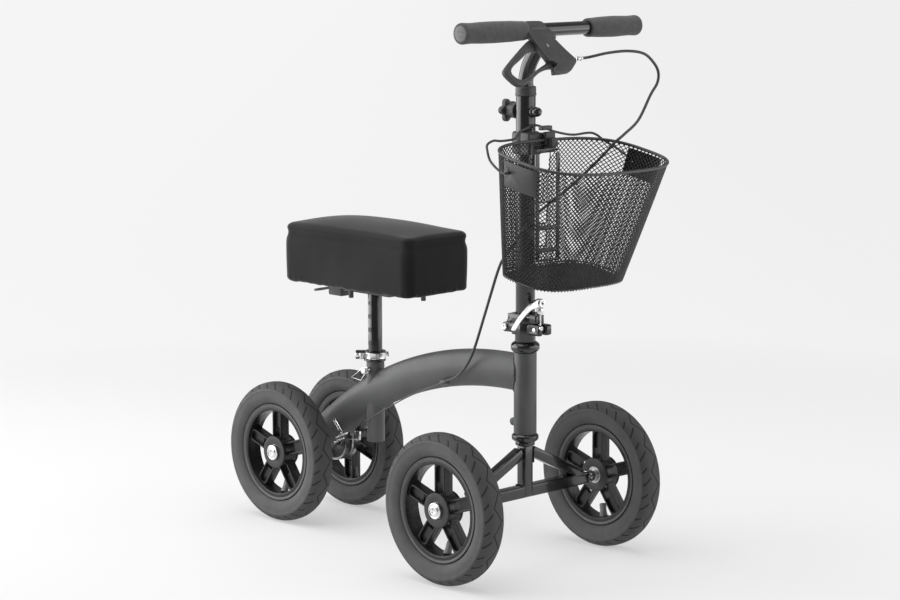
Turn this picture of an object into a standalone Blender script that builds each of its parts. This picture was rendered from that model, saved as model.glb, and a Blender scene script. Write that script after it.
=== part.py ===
"""Knee walker: an arched frame on four spoked wheels, with a knee cushion on a height-adjustable post,
a steered front axle, a folding handlebar column, a hand brake and a lift-off wire basket.

Metres, +Z up. +X is the direction of travel and +Y the rider's left. Lengths along X are counted from
the rear axle, and the empty called walker_frame moves the whole model so that the origin lies on the
floor, under the middle of its box.
"""

import math

import bmesh
import bpy
from mathutils import Matrix, Vector

# Clearances
GAP = 0.0003
RUNNING = 0.0004
BOLT_PLAY = 0.0004
LOOSE = 0.0006

# Wheels
WHEEL_RADIUS = 0.127
TYRE_HALF_WIDTH = 0.0222
TREAD_HALF_WIDTH = 0.008
TYRE_SIDES = 30
RIM_LIP_RADIUS = 0.0873
RIM_SEAT_RADIUS = 0.0838
RIM_INNER_RADIUS = 0.0760
RIM_HALF_WIDTH = 0.0150
HUB_RADIUS = 0.0283
HUB_HALF_WIDTH = 0.0175
HUB_SIDES = 20
SPOKES = 5
SPOKE_WIDTH = 0.023
SPOKE_HALF_DEPTH = 0.0100
SPOKE_WALL = 0.003
BEARING_RADIUS = 0.0145
AXLE_RADIUS = 0.0080
AXLE_WASHER_RADIUS = 0.0135
AXLE_WASHER = 0.002
AXLE_HEAD_RADIUS = 0.0085
AXLE_HEAD = 0.0030
AXLE_SPACER_RADIUS = 0.0100
REAR_WHEEL_Y = 0.0865
FRONT_WHEEL_Y = 0.1895
WHEELBASE = 0.533

# Arched main tube
ARCH_HEIGHT = 0.064
ARCH_WIDTH = 0.036
ARCH_WALL = 0.0022
ARCH_TOP_Z = 0.3285
ARCH_FLAT_END_X = 0.497
ARCH_RADIUS = 0.72
ARCH_TURN = math.radians(37.0)
ARCH_STEPS = 9
ARCH_SIDES = 14
REAR_AXLE_TUBE_RADIUS = 0.0135
REAR_AXLE_TUBE_RIGHT_Y = -0.0600
REAR_AXLE_TUBE_LEFT_Y = 0.0360
CABLE_STOP = Vector((0.3565, -0.0215, 0.2920))
CABLE_STOP_SIZE = (0.010, 0.014, 0.009)
CABLE_STOP_HOLE = 0.0018

# Steering
STEER_X = 0.534
HEAD_TUBE_RADIUS = 0.01925
HEAD_TUBE_WALL = 0.0024
HEAD_TUBE_LOW_Z = 0.2266
HEAD_TUBE_HIGH_Z = 0.3649
STOP_LUG_Z = 0.2435
STOP_LUG_RADIUS = 0.0068
STOP_LUG_WIDTH = 0.012
STEERER_RADIUS = 0.0145
STEERER_BORE = 0.0115
CROWN_RADIUS = 0.0165
CROWN_LOW_Z = 0.2069
LOWER_CUP_RADIUS = 0.02275
UPPER_CUP_RADIUS = 0.0245
UPPER_CUP_TOP_Z = 0.3835
LOWER_CUP_LOW_Z = 0.2129
AXLE_BEAM = 0.020
BEAM_HALF_LENGTH = 0.150
STRUT = 0.018
STRUT_TOP = Vector((0.012, 0.195))
STRUT_FOOT = Vector((0.133, 0.136))

# Folding clamp and quick release
NECK_RADIUS = 0.0175
CLAMP_LOW_Z = 0.3970
CLAMP_LOWER_HEIGHT = 0.0185
CLAMP_UPPER_HEIGHT = 0.0155
CLAMP_SPLIT_Z = CLAMP_LOW_Z + CLAMP_LOWER_HEIGHT
CLAMP_TOP_Z = CLAMP_SPLIT_Z + CLAMP_UPPER_HEIGHT
CLAMP_RADIUS = 0.0225
FOLD_PIN_X = 0.506
FOLD_PIN_Z = CLAMP_LOW_Z + 0.0100
FOLD_PIN_RADIUS = 0.0035
FOLD_PIN_HALF_LENGTH = 0.0225
KNUCKLE_RADIUS = 0.0085
KNUCKLE_HALF_WIDTH = 0.0080
LUG_OUTER_Y = 0.0190
ROD_X = 0.568
ROD_RADIUS = 0.0022
ROD_PIN_Z = FOLD_PIN_Z
ROD_PIN_RADIUS = 0.0036
ROD_SLOT_HALF = 0.0036
FORK_FRONT_X = 0.5790
FORK_HEIGHT = 0.0175
UPPER_LUG_REAR_X = 0.5520
UPPER_LUG_FRONT_X = 0.5682
NEAR_LUG_Y = -0.0140
FAR_LUG_Y = 0.0180
CAM_Z = CLAMP_TOP_Z + 0.0204
CAM_RADIUS = 0.0072
CAM_HALF_WIDTH = 0.0062
CAM_PIN_RADIUS = 0.0020
CAM_SEAT_RADIUS = 0.0058
LEVER_THICKNESS = 0.0042
LEVER_PATH = ((0.0, 0.0046), (-0.0140, 0.0031), (-0.0336, -0.0084), (-0.0520, -0.0239), (-0.0635, -0.0379))

# Handlebar column
COLUMN_RADIUS = 0.0164
COLUMN_BORE = 0.0132
COLUMN_LOW_Z = CLAMP_SPLIT_Z + 0.0035
COLUMN_TOP_Z = 0.7935
COLLAR_RADIUS = 0.0175
COLLAR_HEIGHT = 0.0160
STEM_RADIUS = 0.0127
STEM_LOW_Z = 0.6000
STEM_BEND = ((0.0, 0.0, 0.8130), (0.0004, 0.0, 0.8220), (0.0085, 0.0, 0.8460), (0.0270, 0.0, 0.8730))
KNOB_Z = 0.7680
KNOB_RADIUS = 0.0196
KNOB_LOBES = 5
KNOB_LOBE_DEPTH = 0.0034
KNOB_REAR_X = 0.4874
KNOB_FRONT_X = 0.4975
KNOB_BOSS_REAR_RADIUS = 0.0115
KNOB_BOSS_RADIUS = 0.0135
KNOB_BOLT_RADIUS = 0.0032
HEIGHT_HOLES = 7
HEIGHT_HOLE_PITCH = 0.025
NUT_RADIUS = 0.00825
NUT_LENGTH = 0.0170

# Handlebar, grips and brake lever
BAR_X = 0.5907
BAR_Z = 0.9043
BAR_RADIUS = 0.0111
BAR_HALF_LENGTH = 0.2010
GRIP_CAP = 0.0050
GRIP_END_Y = BAR_HALF_LENGTH + GRIP_CAP
GRIP_RIGHT_INNER_Y = -0.0625
GRIP_LEFT_INNER_Y = 0.0850
GRIP_BORE = 0.0114
HOUSING_THICKNESS = 0.028
HOUSING_FRONT = 0.0080
HOUSING_STEP = 0.0150
HOUSING_OUTLINE = (
    (-0.0617, -0.0170), (-0.0200, -0.0170), (-0.0150, -0.0125), (-0.0083, 0.0058), (-0.0017, 0.0175),
    (0.0300, 0.0500), (0.0325, 0.0515), (0.0325, 0.0590), (0.0083, 0.0742), (-0.0325, 0.0775), (-0.0475, 0.0725),
    (-0.0500, 0.0600), (-0.0570, 0.0200), (-0.0617, 0.0140),
)
HAND_LEVER_OUTLINE = (
    (-0.0240, 0.0190), (-0.0550, 0.0150), (-0.0750, 0.0242), (-0.1400, 0.0633), (-0.1492, 0.0733),
    (-0.1325, 0.0950), (-0.1217, 0.0983), (-0.1008, 0.0942), (-0.0717, 0.0775), (-0.0475, 0.0705),
    (-0.0280, 0.0705), (-0.0230, 0.0520),
)
HAND_LEVER_WINDOW = (
    (-0.0892, 0.0475), (-0.1308, 0.0683), (-0.1167, 0.0842), (-0.0967, 0.0800), (-0.0692, 0.0675),
    (-0.0370, 0.0590), (-0.0400, 0.0483), (-0.0475, 0.0412), (-0.0633, 0.0378), (-0.0825, 0.0415),
)
HAND_LEVER_THICKNESS = 0.0100
LEVER_SLOT = 0.0112
HOUSING_DOWN = Vector((0.5, 0.0, -math.sqrt(0.75)))
LEVER_PIVOT = Vector((-0.0350, 0.0290))
LEVER_PIN_RADIUS = 0.0025
ADJUSTER_DOWN = 0.0550
ADJUSTER_START_Y = HOUSING_OUTLINE[6][0] + GAP
ADJUSTER_END_Y = 0.0450
ADJUSTER_RADIUS = 0.0036

# Brake cable
CABLE_RADIUS = 0.0024
WIRE_RADIUS = 0.0012
CABLE_OUTER_POINTS = 50
CABLE_WIRE_POINTS = 30
CABLE_OUTER_ROUTE = (
    (0.6182, 0.0462, 0.8567), (0.6190, 0.0560, 0.8574), (0.6300, 0.0750, 0.8600), (0.6450, 0.1260, 0.8640),
    (0.6500, 0.1510, 0.8620), (0.6500, 0.1810, 0.8430), (0.6500, 0.1965, 0.8187), (0.6500, 0.1890, 0.7910),
    (0.6500, 0.1485, 0.7515), (0.6500, 0.1140, 0.7300), (0.6450, 0.0960, 0.7170), (0.6200, 0.0960, 0.6950),
    (0.6000, 0.0835, 0.6710), (0.5850, 0.0550, 0.6430), (0.5750, 0.0250, 0.6220), (0.5590, 0.0000, 0.5990),
    (0.5540, -0.0200, 0.5790), (0.5430, -0.0330, 0.5540), (0.5230, -0.0400, 0.5265), (0.5050, -0.0350, 0.5040),
    (0.4826, -0.0300, 0.4607), (0.4652, -0.0300, 0.4171), (0.4442, -0.0300, 0.3659), (0.4255, -0.0280, 0.3360),
    (0.3970, -0.0250, 0.3090), (0.3664, -0.0218, 0.2962),
)
CABLE_WIRE_ROUTE = (
    (0.3660, -0.0218, 0.2960), (0.3565, -0.0215, 0.2920), (0.3400, -0.0212, 0.2852), (0.2978, -0.0195, 0.2681),
    (0.2454, -0.0195, 0.2440),
    (0.1400, -0.0195, 0.1860), (0.1180, -0.0120, 0.1710), (0.1040, -0.0020, 0.1630), (0.0920, 0.0140, 0.1550),
    (0.0830, 0.0240, 0.1490), (0.0760, 0.0288, 0.1455), (0.0660, 0.0300, 0.1425), (0.0560, 0.0300, 0.1398),
    (0.0150, 0.0300, 0.1286),
)

# Basket
BASKET_REAR_X = 0.5700
BASKET_FLOOR_REAR_X = 0.5584
BASKET_SLOPE = -0.2035
RIM_HALF_DEPTH = 0.0961
RIM_HALF_SPAN = 0.1490
RIM_REAR_Z = 0.7222
RIM_POWER = 2.94
FLOOR_HALF_DEPTH = 0.0624
FLOOR_HALF_SPAN = 0.1077
FLOOR_REAR_Z = 0.5133
FLOOR_POWER = 3.36
BASKET_WALL = 0.0016
BASKET_SIDES = 28
RIM_WIRE = 0.0026
BASKET_WINDOWS = (
    (-0.0215, 0.0215, 0.672, 0.703),
    (-0.0180, 0.0200, 0.584, 0.618),
    (-0.0215, 0.0215, 0.545, 0.576),
)
BASKET_FRAME_X = 0.5840
BASKET_FRAME_HALF = 0.0240
BASKET_FRAME_BARS = (0.5245, 0.5420, 0.5790, 0.7080)
BASKET_FRAME_WIRE = 0.0021
PLATE_DROP = 0.044
PLATE_TOP_SHARE = 0.975
PLATE_HALF_TURN = 0.24
PLATE_THICKNESS = 0.0014
BAIL_PIVOT = Vector((0.6400, 0.0, 0.6840))
BAIL_RADIUS = 0.0020
BAIL_ARM_Y = 0.1535
BAIL_STUB_Y = 0.1441
BAIL_ROUTE = (
    (0.6400, -0.1535, 0.6840), (0.6360, -0.1535, 0.6838), (0.6253, -0.1535, 0.6867), (0.6051, -0.1535, 0.7012),
    (0.5956, -0.1510, 0.7214), (0.5870, -0.1420, 0.7300), (0.5720, -0.1200, 0.7290), (0.5620, -0.0850, 0.7260),
    (0.5585, -0.0510, 0.7272), (0.5585, -0.0410, 0.7372), (0.5585, -0.0207, 0.7430), (0.5585, -0.0104, 0.7470),
    (0.5585, 0.0060, 0.7450), (0.5585, 0.0331, 0.7362), (0.5585, 0.0610, 0.7293), (0.5600, 0.0882, 0.7253),
    (0.5700, 0.1227, 0.7266), (0.5830, 0.1400, 0.7270), (0.5940, 0.1502, 0.7214), (0.6051, 0.1535, 0.7012),
    (0.6253, 0.1535, 0.6867), (0.6360, 0.1535, 0.6838), (0.6400, 0.1535, 0.6840),
)
BRACKET_LOW_Z = 0.6940
BRACKET_TOP_Z = 0.7345
BRACKET_FRONT_X = 0.5660
BRACKET_RIGHT_Y = -0.0375
BRACKET_LEFT_Y = 0.0260
HOOK_REAR_X = 0.5672
HOOK_FRONT_X = 0.5862
HOOK_RIGHT_Y = -0.0150
HOOK_LEFT_Y = 0.0205
HOOK_LOW_Z = 0.7000
HOOK_TOP_Z = 0.7420
HOOK_GROOVE_X = 0.5745
HOOK_GROOVE_Z = 0.7258
TONGUE_REAR_X = 0.5580
TONGUE_HALF_WIDTH = 0.0080
TONGUE_TOP_Z = 0.7333
BUTTON_SIZE = (0.0100, 0.0240, 0.0070)
BUTTON_X = 0.5770
BUTTON_Y = 0.0020
BUTTON_TRAVEL = 0.0030
BUTTON_STANDS = 0.0045

# Seat
SEAT_X = 0.161
SEAT_TUBE_RADIUS = 0.0160
SEAT_TUBE_BORE = 0.0131
SEAT_TUBE_LOW_Z = 0.1575
SEAT_TUBE_TOP_Z = 0.3195
POST_RADIUS = 0.0127
POST_WALL = 0.0020
POST_LOW_Z = 0.1960
SEAT_HOLES = 7
SEAT_HOLE_PITCH = 0.024
SEAT_HOLE_RADIUS = 0.0044
LOCK_PIN_Z = 0.2880
LOCK_PIN_RADIUS = 0.0039
COLLAR_LOW_Z = 0.3065
COLLAR_TOP_Z = 0.3215
SEAT_COLLAR_RADIUS = 0.0192
SEAT_LEVER_PIVOT = 0.0310
SEAT_LEVER_BARREL = 0.0066
SEAT_LEVER_ARM_RADIUS = 0.0215
SEAT_LEVER_ARM_THICK = 0.0026
CUSHION_REAR_X = 0.0015
CUSHION_FRONT_X = 0.3262
CUSHION_HALF_WIDTH = 0.0740
CUSHION_LOW_Z = 0.4385
CUSHION_EDGE_Z = 0.5430
CUSHION_CROWN = 0.0150
CUSHION_DRAW_IN = 0.0030
CUSHION_HEM = 0.0095
CUSHION_LOOPS = (
    (-1.0, -0.90, -0.50, 0.0, 0.50, 0.90, 1.0),
    (-1.0, -0.78, -0.30, 0.30, 0.78, 1.0),
    (-1.0, -0.76, 0.0, 0.70, 1.0),
)
BASE_PLATE_Z = CUSHION_LOW_Z + 0.0020
BASE_PLATE = 0.0080
CHANNEL_REAR_X = 0.1000
CHANNEL_FRONT_X = 0.2200
CHANNEL_HALF_WIDTH = 0.0200
CHANNEL_HEIGHT = 0.0155
STUDS = ((0.1200, -0.0200, 0.0265), (0.2650, 0.0200, 0.0205))
STUD_RADIUS = 0.0045
SEAT_BRACKET_X = 0.0700
SEAT_BRACKET_SIZE = (0.0360, 0.0300, 0.0315)
SEAT_LOOP_ROUTE = (
    (0.0560, -0.0120, 0.4250), (0.0300, -0.0200, 0.4200), (0.0180, -0.0180, 0.4170), (0.0160, 0.0, 0.4160),
    (0.0180, 0.0180, 0.4170), (0.0300, 0.0200, 0.4200), (0.0560, 0.0120, 0.4250),
)

# Rear band brake
BRAKE_COVER_RADIUS = 0.0450
BRAKE_COVER_DEPTH = 0.0150
BRAKE_COVER_WALL = 0.0018
DRUM_RADIUS = 0.0360
DRUM_WALL = 0.0040
BAND_THICKNESS = 0.0022
BRAKE_ARM_PIVOT = Vector((0.0230, 0.1390))
BRAKE_ARM_TIP = Vector((0.0060, 0.1660))
BRAKE_ARM_THICKNESS = 0.0026
BRAKE_PINCH = Vector((0.0170, 0.1291))
BRAKE_PINCH_RADIUS = 0.0028
CABLE_BLOCK = Vector((0.0660, 0.0300, 0.1425))
CABLE_BLOCK_SIZE = (0.009, 0.009, 0.010)
CABLE_BLOCK_HOLE = 0.0022

# Origin on the floor, under the middle of the box from the rear tyres to the front of the basket
BOX_REAR_X = -WHEEL_RADIUS / math.cos(math.pi / TYRE_SIDES)
BOX_FRONT_X = BASKET_REAR_X + 2 * RIM_HALF_DEPTH + RIM_WIRE / 2
BOX_CENTRE_X = (BOX_FRONT_X + BOX_REAR_X) / 2

X_AXIS = Vector((1.0, 0.0, 0.0))
Y_AXIS = Vector((0.0, 1.0, 0.0))
Z_AXIS = Vector((0.0, 0.0, 1.0))

BLACK_GLOSS = ("black_paint", (0.012, 0.012, 0.013), 0.28, 0.0)
GREY_PAINT = ("grey_paint", (0.075, 0.077, 0.080), 0.42, 0.0)
SILVER = ("silver_metal", (0.62, 0.62, 0.62), 0.28, 1.0)
BLACK_PLASTIC = ("black_plastic", (0.018, 0.018, 0.019), 0.40, 0.0)
TYRE_RUBBER = ("tyre_rubber", (0.045, 0.046, 0.048), 0.80, 0.0)
RIM_PLASTIC = ("rim_plastic", (0.022, 0.022, 0.024), 0.35, 0.0)
FOAM = ("foam", (0.020, 0.020, 0.021), 0.90, 0.0)
FABRIC = ("cushion_cloth", (0.022, 0.022, 0.024), 0.85, 0.0)
WIRE_MESH = ("basket_black", (0.015, 0.015, 0.016), 0.45, 0.0)

parts = None
guides = None
root = None
palette = {}


def start_scene():
    """Empty the scene and make the two collections and the empty that carries the model."""
    global parts, guides, root
    for obj in list(bpy.data.objects):
        bpy.data.objects.remove(obj, do_unlink=True)
    parts = bpy.data.collections.new("knee_walker")
    guides = bpy.data.collections.new("cutters")
    for group in (parts, guides):
        bpy.context.scene.collection.children.link(group)
    root = bpy.data.objects.new("walker_frame", None)
    root.location = (-BOX_CENTRE_X, 0.0, 0.0)
    parts.objects.link(root)


def material(look):
    """Return the Principled material of a look, made once."""
    name, colour, roughness, metallic = look
    if name not in palette:
        made = bpy.data.materials.new(name)
        made.use_nodes = True
        shader = made.node_tree.nodes["Principled BSDF"]
        shader.inputs["Base Color"].default_value = (*colour, 1.0)
        shader.inputs["Roughness"].default_value = roughness
        shader.inputs["Metallic"].default_value = metallic
        palette[name] = made
    return palette[name]


def joint_empty(name, place, parent=None):
    """An empty on a joint's axis, which carries the pieces that move with it."""
    empty = bpy.data.objects.new(name, None)
    empty["place"] = list(place)
    carrier = parent or root
    origin = Vector(parent["place"]) if parent else Vector((0.0, 0.0, 0.0))
    empty.parent = carrier
    empty.location = Vector(place) - origin
    parts.objects.link(empty)
    return empty


def hang(obj, carrier):
    """Parent a piece to the walker or to a joint's empty, keeping its coordinates."""
    if carrier is None:
        obj.parent = root
    else:
        obj.parent = carrier
        obj.matrix_parent_inverse = Matrix.Translation(-Vector(carrier["place"]))


def add_piece(name, mesh, look=None, carrier=None, matrix=None, guide=False, smooth=True):
    """Add an object for a mesh, as a named part or as a hidden guide."""
    obj = bpy.data.objects.new(name, mesh)
    if matrix is not None:
        obj.matrix_basis = matrix
    hang(obj, carrier)
    if guide:
        guides.objects.link(obj)
        obj.hide_render = True
        obj.hide_viewport = False
        obj.display_type = "WIRE"
    else:
        parts.objects.link(obj)
        mesh.materials.clear()
        mesh.materials.append(material(look))
    if smooth:
        mesh.shade_smooth()
        mesh.set_sharp_from_angle(angle=math.radians(35))
    return obj


def mesh_from_bmesh(name, bm):
    """Write a bmesh to a new mesh, with its faces pointing out."""
    bmesh.ops.recalc_face_normals(bm, faces=bm.faces)
    mesh = bpy.data.meshes.new(name)
    bm.to_mesh(mesh)
    bm.free()
    return mesh


def turn_to(axis, place):
    """A matrix that carries +Z onto an axis through a place."""
    turn = Z_AXIS.rotation_difference(Vector(axis).normalized()).to_matrix().to_4x4()
    return Matrix.Translation(Vector(place)) @ turn


def baked(obj):
    """The evaluated mesh of an object, welded, after which the object is removed."""
    bpy.context.view_layer.update()
    graph = bpy.context.evaluated_depsgraph_get()
    mesh = bpy.data.meshes.new_from_object(obj.evaluated_get(graph), depsgraph=graph)
    bm = bmesh.new()
    bm.from_mesh(mesh)
    bmesh.ops.remove_doubles(bm, verts=bm.verts, dist=0.000002)
    bm.to_mesh(mesh)
    bm.free()
    mesh.name = obj.name
    bpy.data.objects.remove(obj, do_unlink=True)
    return mesh


def box_mesh(name, size, bevel=0.0, segments=1):
    """A box centred on its origin, with bevelled edges."""
    bm = bmesh.new()
    bmesh.ops.create_cube(bm, size=1.0)
    bmesh.ops.scale(bm, vec=size, verts=bm.verts)
    if bevel > 0:
        bmesh.ops.bevel(bm, geom=bm.edges[:], offset=bevel, offset_type="OFFSET", segments=segments,
                        profile=0.5, affect="EDGES", clamp_overlap=True, material=-1)
    return mesh_from_bmesh(name, bm)


def cylinder_mesh(name, radius, length, sides=24, top_radius=None):
    """A cylinder or a cone along Z, centred on its origin."""
    bm = bmesh.new()
    upper = radius if top_radius is None else top_radius
    bmesh.ops.create_cone(bm, cap_ends=True, segments=sides, radius1=radius, radius2=upper, depth=length)
    return mesh_from_bmesh(name, bm)


def turned_mesh(name, profile, sides=24, closed=False, phase=0.0):
    """A turned solid: a profile of radius and height, top to bottom on its outer side, and a Screw."""
    points = [(radius, 0.0, height) for radius, height in profile]
    edges = [(i, i + 1) for i in range(len(points) - 1)]
    if closed:
        edges.append((len(points) - 1, 0))
    mesh = bpy.data.meshes.new(name)
    mesh.from_pydata(points, edges, [])
    mesh.transform(Matrix.Rotation(phase, 4, "Z"))
    obj = bpy.data.objects.new(name, mesh)
    guides.objects.link(obj)
    screw = obj.modifiers.new("turn", "SCREW")
    screw.steps = sides
    screw.render_steps = sides
    screw.use_merge_vertices = True
    screw.merge_threshold = 0.00001
    turned = baked(obj)
    bm = bmesh.new()
    bm.from_mesh(turned)
    bmesh.ops.dissolve_degenerate(bm, dist=0.000002, edges=bm.edges)
    bmesh.ops.recalc_face_normals(bm, faces=bm.faces)
    bm.to_mesh(turned)
    bm.free()
    return turned


def curve_object(name, splines, radius=0.0, cyclic=False, resolution=2, flat=0.0):
    """A curve of straight runs through given points, as a wire of a radius or a flat outline."""
    curve = bpy.data.curves.new(name, "CURVE")
    curve.dimensions = "2D" if flat else "3D"
    for points in splines:
        spline = curve.splines.new("POLY")
        spline.points.add(len(points) - 1)
        for spot, point in zip(spline.points, points):
            spot.co = (point[0], point[1], point[2] if len(point) > 2 else 0.0, 1.0)
            spot.radius = point[3] if len(point) > 3 else 1.0
        spline.use_cyclic_u = cyclic
    if flat:
        curve.fill_mode = "BOTH"
        curve.extrude = flat / 2
    else:
        curve.bevel_depth = radius
        curve.bevel_resolution = resolution
        curve.use_fill_caps = not cyclic
    obj = bpy.data.objects.new(name, curve)
    guides.objects.link(obj)
    return obj


def wire_mesh(name, points, radius, cyclic=False, resolution=2):
    """A welded mesh of a round wire along given points."""
    return baked(curve_object(name, [points], radius=radius, cyclic=cyclic, resolution=resolution))


def plate_mesh(name, outlines, thickness, bevel=0.0, segments=1):
    """A welded mesh of a flat plate with the given outlines, holes after the outer one."""
    mesh = baked(curve_object(name, outlines, cyclic=True, flat=thickness))
    bm = bmesh.new()
    bm.from_mesh(mesh)
    bmesh.ops.dissolve_limit(bm, angle_limit=0.001, verts=bm.verts, edges=bm.edges)
    if bevel > 0:
        rims = [e for e in bm.edges if abs(abs(e.verts[0].co.z) - thickness / 2) < 1e-6
                and abs(e.verts[0].co.z - e.verts[1].co.z) < 1e-6 and len(e.link_faces) == 2
                and e.calc_face_angle(0.0) > 1.0]
        bmesh.ops.bevel(bm, geom=rims, offset=bevel, offset_type="OFFSET", segments=segments,
                        profile=0.5, affect="EDGES", clamp_overlap=True, material=-1)
    bmesh.ops.recalc_face_normals(bm, faces=bm.faces)
    bm.to_mesh(mesh)
    bm.free()
    return mesh


def boolean(obj, other, operation):
    """Cut or join an object with a guide, with the exact solver."""
    modifier = obj.modifiers.new(operation.lower(), "BOOLEAN")
    modifier.operation = operation
    modifier.object = other
    modifier.solver = "EXACT"


def cut(obj, mesh, matrix, carrier=None):
    """Cut a mesh out of an object."""
    boolean(obj, add_piece("cut_" + obj.name, mesh, carrier=carrier, matrix=matrix, guide=True), "DIFFERENCE")


def join(obj, mesh, matrix, carrier=None):
    """Join a mesh to an object, as one solid."""
    boolean(obj, add_piece("join_" + obj.name, mesh, carrier=carrier, matrix=matrix, guide=True), "UNION")


def bored(obj, radius, start, end, carrier=None, sides=12):
    """Drill a round hole from one point to another."""
    start, end = Vector(start), Vector(end)
    hole = cylinder_mesh("hole", radius, (end - start).length, sides)
    cut(obj, hole, turn_to(end - start, (start + end) / 2), carrier)


def smooth_route(points, count, blend=0.5):
    """Points at even steps along a smooth curve through a route's own points."""
    route = [Vector(p) for p in points]
    ends = [2 * route[0] - route[1]] + route + [2 * route[-1] - route[-2]]
    fine = []
    for i in range(1, len(ends) - 2):
        a, b, c, d = ends[i - 1:i + 3]
        for k in range(24):
            t = k / 24
            tangent_in = (c - a) * blend
            tangent_out = (d - b) * blend
            fine.append((2 * t**3 - 3 * t**2 + 1) * b + (t**3 - 2 * t**2 + t) * tangent_in
                        + (-2 * t**3 + 3 * t**2) * c + (t**3 - t**2) * tangent_out)
    fine.append(route[-1])
    lengths = [0.0]
    for a, b in zip(fine, fine[1:]):
        lengths.append(lengths[-1] + (b - a).length)
    even = []
    at = 0
    for k in range(count):
        goal = lengths[-1] * k / (count - 1)
        while at < len(lengths) - 2 and lengths[at + 1] < goal:
            at += 1
        span = lengths[at + 1] - lengths[at]
        even.append(fine[at].lerp(fine[at + 1], (goal - lengths[at]) / span if span else 0.0))
    return even


def across(radius, sides):
    """The corner radius of a polygon whose flats lie at a radius."""
    return radius / math.cos(math.pi / sides)


def tyre_mesh():
    """A tyre with one flat of its tread facing down, where the walker stands."""
    seat = RIM_SEAT_RADIUS + GAP
    lip = RIM_LIP_RADIUS + LOOSE
    half = [
        (WHEEL_RADIUS, TREAD_HALF_WIDTH), (WHEEL_RADIUS - 0.0055, TYRE_HALF_WIDTH - 0.0042),
        (WHEEL_RADIUS - 0.017, TYRE_HALF_WIDTH), (lip, TYRE_HALF_WIDTH - 0.0052),
        (lip, 0.0118), (seat, 0.0112),
    ]
    stretch = across(1.0, TYRE_SIDES)
    outer = [(r * stretch, y) for r, y in half]
    lower = [(r, -y) for r, y in reversed(outer)]
    return turned_mesh("tyre", outer + lower, TYRE_SIDES, closed=True)


def rim_mesh():
    """A rim with a deep barrel, a hub and five hollow spokes, one of them straight up."""
    stretch = across(1.0, TYRE_SIDES)
    ring = [
        (RIM_LIP_RADIUS, RIM_HALF_WIDTH), (RIM_LIP_RADIUS, 0.0127), (RIM_SEAT_RADIUS, 0.0115),
        (RIM_SEAT_RADIUS, -0.0115), (RIM_LIP_RADIUS, -0.0127), (RIM_LIP_RADIUS, -RIM_HALF_WIDTH),
        (RIM_INNER_RADIUS, -RIM_HALF_WIDTH), (RIM_INNER_RADIUS, RIM_HALF_WIDTH),
    ]
    ring = [(r * stretch, y) for r, y in ring]
    rim = add_piece("rim_base", turned_mesh("rim", ring, TYRE_SIDES, True), guide=True)
    hub = [(HUB_RADIUS, HUB_HALF_WIDTH), (HUB_RADIUS, -HUB_HALF_WIDTH),
           (BEARING_RADIUS + GAP, -HUB_HALF_WIDTH), (BEARING_RADIUS + GAP, HUB_HALF_WIDTH)]
    inner, outer = HUB_RADIUS - 0.006, RIM_INNER_RADIUS + 0.003
    pocket_end = RIM_INNER_RADIUS - 0.005
    pocket_half = SPOKE_WIDTH / 2 - SPOKE_WALL
    for k in range(SPOKES):
        turn = Matrix.Rotation(-math.pi / 2 + 2 * math.pi * k / SPOKES, 4, "Z")
        bar = box_mesh("spoke", (outer - inner, SPOKE_WIDTH, 2 * SPOKE_HALF_DEPTH))
        join(rim, bar, turn @ Matrix.Translation(((inner + outer) / 2, 0, 0)))
    for k in range(SPOKES):
        turn = Matrix.Rotation(-math.pi / 2 + 2 * math.pi * k / SPOKES, 4, "Z")
        arch = [(pocket_end - pocket_half + pocket_half * math.cos(a), pocket_half * math.sin(a))
                for a in (math.radians(d) for d in range(-90, 91, 45))]
        pocket = [(HUB_RADIUS - 0.004, -pocket_half)] + arch + [(HUB_RADIUS - 0.004, pocket_half)]
        cut(rim, plate_mesh("pocket", [pocket], 0.05), turn)
    join(rim, turned_mesh("hub", hub, HUB_SIDES, closed=True), Matrix())
    return baked(rim)


def add_wheels(steering):
    """Four wheels, each with a tyre, a rim and a bearing sleeve, turning on their own axle bolts."""
    tyre = tyre_mesh()
    rim = rim_mesh()
    sleeve = [(BEARING_RADIUS, HUB_HALF_WIDTH - 0.0005), (BEARING_RADIUS, 0.0005 - HUB_HALF_WIDTH),
              (AXLE_RADIUS + RUNNING, 0.0005 - HUB_HALF_WIDTH), (AXLE_RADIUS + RUNNING, HUB_HALF_WIDTH - 0.0005)]
    bearing = turned_mesh("bearing", sleeve, HUB_SIDES, closed=True)
    for end, x, y in (("rear", 0.0, REAR_WHEEL_Y), ("front", WHEELBASE, FRONT_WHEEL_Y)):
        for side, sign in (("left", 1), ("right", -1)):
            place = Vector((x, sign * y, WHEEL_RADIUS))
            hub = joint_empty(f"{end}_{side}_wheel_axis", place, steering if end == "front" else None)
            spin = math.pi / SPOKES if (end, side) == ("rear", "left") else 0.0
            upright = turn_to(Y_AXIS, place)
            for piece, mesh, look, turn in (
                ("tyre", tyre, TYRE_RUBBER, 0.0), ("rim", rim, RIM_PLASTIC, spin), ("bearing", bearing, SILVER, 0.0),
            ):
                matrix = upright @ Matrix.Rotation(turn, 4, "Z")
                add_piece(f"{piece}_{end}_{side}", mesh, look, hub, matrix, smooth=True)


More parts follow.
